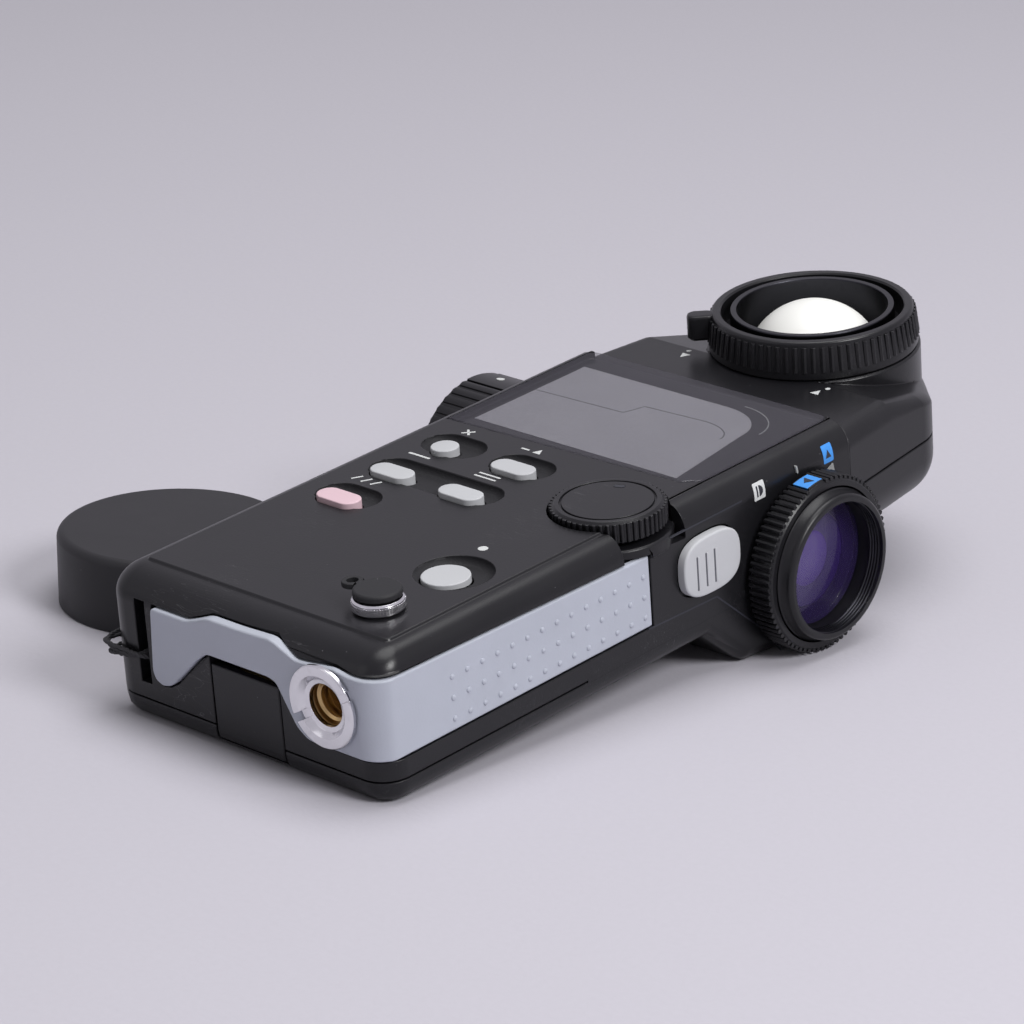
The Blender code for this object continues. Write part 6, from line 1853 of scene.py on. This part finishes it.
def make_marks():
    """Generic printed marks: bars, dots and arrows by the keys, patches by the selector."""
    ink = 0.02 * MM
    low, high = body_depth - gap, body_depth + ink
    places = {name: key_place(name) for name in KEYS}
    marks = []

    def put(outline, finish="white_paint"):
        marks.append(plate(outline, low, high, finish))

    wide = 0.42 * MM
    aside, above = -2.1 * MM, 8.5 * MM
    spots = {name: (place[0] + aside, place[1] + above) for name, place in places.items()}
    x, y = spots["mode_button"]
    pitch, lean, rise = 2.2 * MM, 0.5 * MM, 0.9 * MM
    for k in (-1, 0, 1):
        put(bar((x + k * pitch - lean, y - rise), (x + k * pitch + lean, y + rise), wide))
    x, y = spots["iso_button"]
    dash, spread = 2.4 * MM, 0.6 * MM
    put(bar((x - dash, y), (x + dash, y), wide * 1.2))
    x, y = spots["iso_two_button"]
    for step in (-spread, spread):
        put(bar((x - dash, y + step), (x + dash, y + step), wide))
    x, y = spots["clear_button"]
    half = 0.85 * MM
    for step in (-half, half):
        put(bar((x - half, y - gap * 2 - step), (x + half, y - gap * 2 + step), wide))
    x, y = spots["average_button"]
    put([(x - half, y - half), (x + half, y - half), (x, y + half)])
    start, stop = x - 3.6 * MM, x - 1.8 * MM
    put(bar((start, y - half / 2), (stop, y - half / 2), wide))
    x, y = spots["power_button"]
    dot_shift, dot_above, dot_size = 0.5 * MM, 2.8 * MM, 1.7 * MM
    put(stadium((x - dot_shift, y + dot_above), dot_size, dot_size))
    publish("panel_marks", marks, "body")

    top = head_high
    signs = []
    orbit, size, shift, drop = 22.1 * MM, 0.9 * MM, 0.6 * MM, 2.2 * MM
    for side in (-1, 1):
        turn = -math.pi / 2 + side * math.radians(46)
        spot = (orbit * math.cos(turn), dome.y + orbit * math.sin(turn))
        base = (spot[0] - side * shift, spot[1] - drop)
        tip = size * side
        arrow = [(base[0] - size, base[1] - tip), (base[0] + size, base[1] - tip),
                 (base[0], base[1] + tip)]
        for outline in (stadium(spot, size, size), arrow):
            signs.append(plate(outline, top - gap, top + ink, "white_paint"))
    publish("head_marks", signs, "head")

    blue_low, blue_high = (106.4 * MM, 20.6 * MM), (108.9 * MM, 23.7 * MM)
    white_low, white_high = (88.4 * MM, 20.3 * MM), (91.2 * MM, 23.3 * MM)
    corner, paint_proud, ink_proud, fin_proud = 0.2 * MM, 0.03 * MM, 0.05 * MM, 0.25 * MM
    patches = fitted([round_box(blue_low, blue_high, corner, 3)], "blue_paint", paint_proud)
    patches += fitted([round_box(white_low, white_high, corner, 3)], "white_paint", paint_proud)
    y, z = (blue_low[0] + blue_high[0]) / 2, (blue_low[1] + blue_high[1]) / 2
    side = 0.7 * MM
    patches += fitted([[(y - side, z - side), (y + side, z - side), (y, z + side)]], "dark_ink",
                      ink_proud)
    y, z = (white_low[0] + white_high[0]) / 2, (white_low[1] + white_high[1]) / 2
    reach, start, stop = 0.95 * MM, y - 0.75 * MM, y - 0.4 * MM
    half_disc = arc((y - 0.1 * MM, z), reach, -math.pi / 2, math.pi / 2, 12)
    stroke = [(start, z - reach), (stop, z - reach), (stop, z + reach), (start, z + reach)]
    patches += fitted([half_disc, stroke], "dark_ink", ink_proud)
    post = round_box((99.1 * MM, 21.6 * MM), (99.5 * MM, 22.9 * MM), 0.15 * MM, 3)
    fin = [(106.6 * MM, 19.3 * MM), (108.9 * MM, 18.3 * MM), (108.5 * MM, 20.2 * MM)]
    patches += fitted([post, fin], "pale_paint", fin_proud)
    publish("selector_patches", patches, "body")


def make_inside():
    """Small parts behind the covers, with softened edges."""
    for node, finish, edge in (("light_sensor", "inner_black", 0.1 * MM),
                               ("dome_carrier", "inner_black", 0.1 * MM),
                               ("door_contact", "brass", 0.08 * MM)):
        smoothed(node, finish, edge=edge)
    finish_nodes()


# Stage


def aim(item, place, target):
    """Put a lamp or the camera in place, looking at a target."""
    item.location = place
    item.rotation_mode = "QUATERNION"
    item.rotation_quaternion = (Vector(target) - Vector(place)).to_track_quat("-Z", "Y")


def add_lamp(name, power, size, place, target):
    lamp = bpy.data.lights.new(name, "AREA")
    lamp.shape = "DISK"
    lamp.energy = power
    lamp.size = size
    item = bpy.data.objects.new(name, lamp)
    bpy.context.scene.collection.objects.link(item)
    aim(item, place, target)
    return item


def make_stage(studio):
    """Plain pale floor, room light, three soft lamps and the camera."""
    scene = bpy.context.scene
    bm = bmesh.new()
    bmesh.ops.create_grid(bm, x_segments=2, y_segments=2, size=4)
    mesh = bpy.data.meshes.new("floor")
    bm.to_mesh(mesh)
    bm.free()
    floor = bpy.data.objects.new("floor", mesh)
    scene.collection.objects.link(floor)
    colour = tuple(studio.floor)
    f = Finish("floor_paper")
    fibre = f.noise(1.2 * MM, 3.0)
    cloud = f.noise(90 * MM)
    base = f.blend(fibre, shade(colour, 0.97), shade(colour, 1.03))
    base = f.blend(cloud * 0.3, base, shade(colour, 0.97))
    mesh.materials.append(f.dress(base_color=base, roughness=0.9,
                                  normal=f.bump(fibre, 0.05 * MM)))

    world = bpy.data.worlds.new("room")
    world.use_nodes = True
    scene.world = world
    room = Tree()
    room.tree = world.node_tree
    backdrop = world.node_tree.nodes["Background"]
    seen = room.node("ShaderNodeLightPath", out=("Is Camera Ray", "Is Glossy Ray",
                                                 "Is Transmission Ray"))
    shown = (seen[0] + seen[1] + seen[2]) > 0.5
    level = shown + (1 - shown) * studio.air
    tint = room.node("ShaderNodeMix", {"data_type": "RGBA"},
                     {0: shown, 6: (1, 1, 1, 1), 7: colour}, 2)
    world.node_tree.links.new(level.socket, backdrop.inputs["Strength"])
    world.node_tree.links.new(tint.socket, backdrop.inputs["Color"])

    target = (0, 0, 0.02)
    add_lamp("key_lamp", studio.key_power, 0.40, (0.85, -0.05, 0.66), target)
    add_lamp("top_lamp", studio.top_power, 0.9, (0.05, 0.15, 1.05), target)
    add_lamp("fill_lamp", studio.fill_power, 0.6, (-0.35, -0.85, 0.45), target)

    eye = bpy.data.cameras.new("camera")
    eye.sensor_width = 36
    eye.lens = 156.954
    camera = bpy.data.objects.new("camera", eye)
    scene.collection.objects.link(camera)
    forward = Vector((-0.646102, 0.685878, -0.334847))
    right = Vector((0.728045, 0.685529, -0.000606)).normalized()
    up = right.cross(forward).normalized()
    camera.matrix_world = Matrix.Translation((0.500077, -0.525053, 0.273717)) @ Matrix(
        (right, up, -forward)).transposed().to_4x4()
    scene.camera = camera
    scene.view_settings.view_transform = "Standard"


# Operators


class METER_OT_finishes(bpy.types.Operator):
    """Make the materials of all pieces"""
    bl_idname = "meter.finishes"
    bl_label = "Finishes"

    def execute(self, context):
        make_finishes(context.scene.meter_colours)
        return {"FINISHED"}


class METER_OT_housing(bpy.types.Operator):
    """Front half of the body with scoops, pockets and window seat"""
    bl_idname = "meter.housing"
    bl_label = "Housing"

    def execute(self, context):
        make_housing()
        return {"FINISHED"}


class METER_OT_back(bpy.types.Operator):
    """Back half of the body with its screws"""
    bl_idname = "meter.back"
    bl_label = "Back"

    def execute(self, context):
        make_back()
        return {"FINISHED"}


class METER_OT_grip(bpy.types.Operator):
    """Grey grip with its arm and rows of dots"""
    bl_idname = "meter.grip"
    bl_label = "Grip"

    def execute(self, context):
        make_grip_piece(context.scene.meter_ribs)
        return {"FINISHED"}


class METER_OT_keys(bpy.types.Operator):
    """Press buttons of the panel"""
    bl_idname = "meter.keys"
    bl_label = "Keys"

    def execute(self, context):
        make_keys()
        return {"FINISHED"}


class METER_OT_side_keys(bpy.types.Operator):
    """Measuring and memory buttons"""
    bl_idname = "meter.side_keys"
    bl_label = "Side Keys"

    def execute(self, context):
        make_side_keys()
        return {"FINISHED"}


class METER_OT_wheel(bpy.types.Operator):
    """Setting wheel with its teeth"""
    bl_idname = "meter.wheel"
    bl_label = "Setting Wheel"

    def execute(self, context):
        make_wheel(context.scene.meter_ribs)
        return {"FINISHED"}


class METER_OT_display(bpy.types.Operator):
    """Window and display"""
    bl_idname = "meter.display"
    bl_label = "Display"

    def execute(self, context):
        make_display()
        return {"FINISHED"}


class METER_OT_terminal(bpy.types.Operator):
    """Flash terminal and its rubber cap"""
    bl_idname = "meter.terminal"
    bl_label = "Flash Terminal"

    def execute(self, context):
        make_terminal()
        return {"FINISHED"}


class METER_OT_tripod(bpy.types.Operator):
    """Chrome ring and threaded insert"""
    bl_idname = "meter.tripod"
    bl_label = "Tripod Socket"

    def execute(self, context):
        make_tripod()
        return {"FINISHED"}


class METER_OT_battery(bpy.types.Operator):
    """Battery door, cell and contacts"""
    bl_idname = "meter.battery"
    bl_label = "Battery"

    def execute(self, context):
        make_battery()
        return {"FINISHED"}


class METER_OT_strap(bpy.types.Operator):
    """Cord round the post of the eyelet"""
    bl_idname = "meter.strap"
    bl_label = "Strap"

    def execute(self, context):
        make_strap()
        return {"FINISHED"}


class METER_OT_objective(bpy.types.Operator):
    """Objective with its selector ring"""
    bl_idname = "meter.objective"
    bl_label = "Objective"

    def execute(self, context):
        make_objective(context.scene.meter_ribs)
        return {"FINISHED"}


class METER_OT_eyepiece(bpy.types.Operator):
    """Zoom ring, sight ring and eye cup"""
    bl_idname = "meter.eyepiece"
    bl_label = "Eyepiece"

    def execute(self, context):
        make_eyepiece(context.scene.meter_ribs)
        return {"FINISHED"}


class METER_OT_head(bpy.types.Operator):
    """Two halves of the turning head"""
    bl_idname = "meter.head"
    bl_label = "Head"

    def execute(self, context):
        make_head()
        return {"FINISHED"}


class METER_OT_dome(bpy.types.Operator):
    """Opal dome, its well and its ring"""
    bl_idname = "meter.dome"
    bl_label = "Dome"

    def execute(self, context):
        make_dome(context.scene.meter_ribs)
        return {"FINISHED"}


class METER_OT_cap(bpy.types.Operator):
    """Lens cap that lies beside the meter"""
    bl_idname = "meter.cap"
    bl_label = "Lens Cap"

    def execute(self, context):
        make_cap()
        return {"FINISHED"}


class METER_OT_marks(bpy.types.Operator):
    """Printed marks and patches"""
    bl_idname = "meter.marks"
    bl_label = "Marks"

    def execute(self, context):
        make_marks()
        return {"FINISHED"}


class METER_OT_inside(bpy.types.Operator):
    """Finishes of the parts behind the covers"""
    bl_idname = "meter.inside"
    bl_label = "Inside"

    def execute(self, context):
        make_inside()
        return {"FINISHED"}


class METER_OT_stage(bpy.types.Operator):
    """Floor, lamps and camera"""
    bl_idname = "meter.stage"
    bl_label = "Stage"

    def execute(self, context):
        make_stage(context.scene.meter_studio)
        return {"FINISHED"}


STEPS = (METER_OT_finishes, METER_OT_housing, METER_OT_back, METER_OT_grip, METER_OT_keys,
         METER_OT_side_keys, METER_OT_wheel, METER_OT_display, METER_OT_terminal,
         METER_OT_tripod, METER_OT_battery, METER_OT_strap, METER_OT_objective,
         METER_OT_eyepiece, METER_OT_head, METER_OT_dome, METER_OT_cap, METER_OT_marks,
         METER_OT_inside, METER_OT_stage)


class METER_PT_panel(bpy.types.Panel):
    """Lists the steps that build the meter"""
    bl_label = "Light Meter"
    bl_idname = "METER_PT_panel"
    bl_space_type = "VIEW_3D"
    bl_region_type = "UI"
    bl_category = "Light Meter"

    def draw(self, context):
        for group in (context.scene.meter_ribs, context.scene.meter_colours,
                      context.scene.meter_studio):
            column = self.layout.column(align=True)
            for name in group.__annotations__:
                column.prop(group, name)
        for step in STEPS:
            self.layout.operator(step.bl_idname)


CLASSES = (MeterRibs, MeterColours, MeterStudio, *STEPS, METER_PT_panel)


def register():
    for item in CLASSES:
        bpy.utils.register_class(item)
    bpy.types.Scene.meter_ribs = PointerProperty(type=MeterRibs)
    bpy.types.Scene.meter_colours = PointerProperty(type=MeterColours)
    bpy.types.Scene.meter_studio = PointerProperty(type=MeterStudio)


def unregister():
    del bpy.types.Scene.meter_studio
    del bpy.types.Scene.meter_colours
    del bpy.types.Scene.meter_ribs
    for item in reversed(CLASSES):
        bpy.utils.unregister_class(item)


def plain(bounds):
    """Box corners as plain lists of numbers."""
    return [[round(value, 6) for value in corner] for corner in bounds]


def main():
    register()
    for step in STEPS:
        group, name = step.bl_idname.split(".")
        getattr(getattr(bpy.ops, group), name)()


if __name__ == "__main__":
    main()
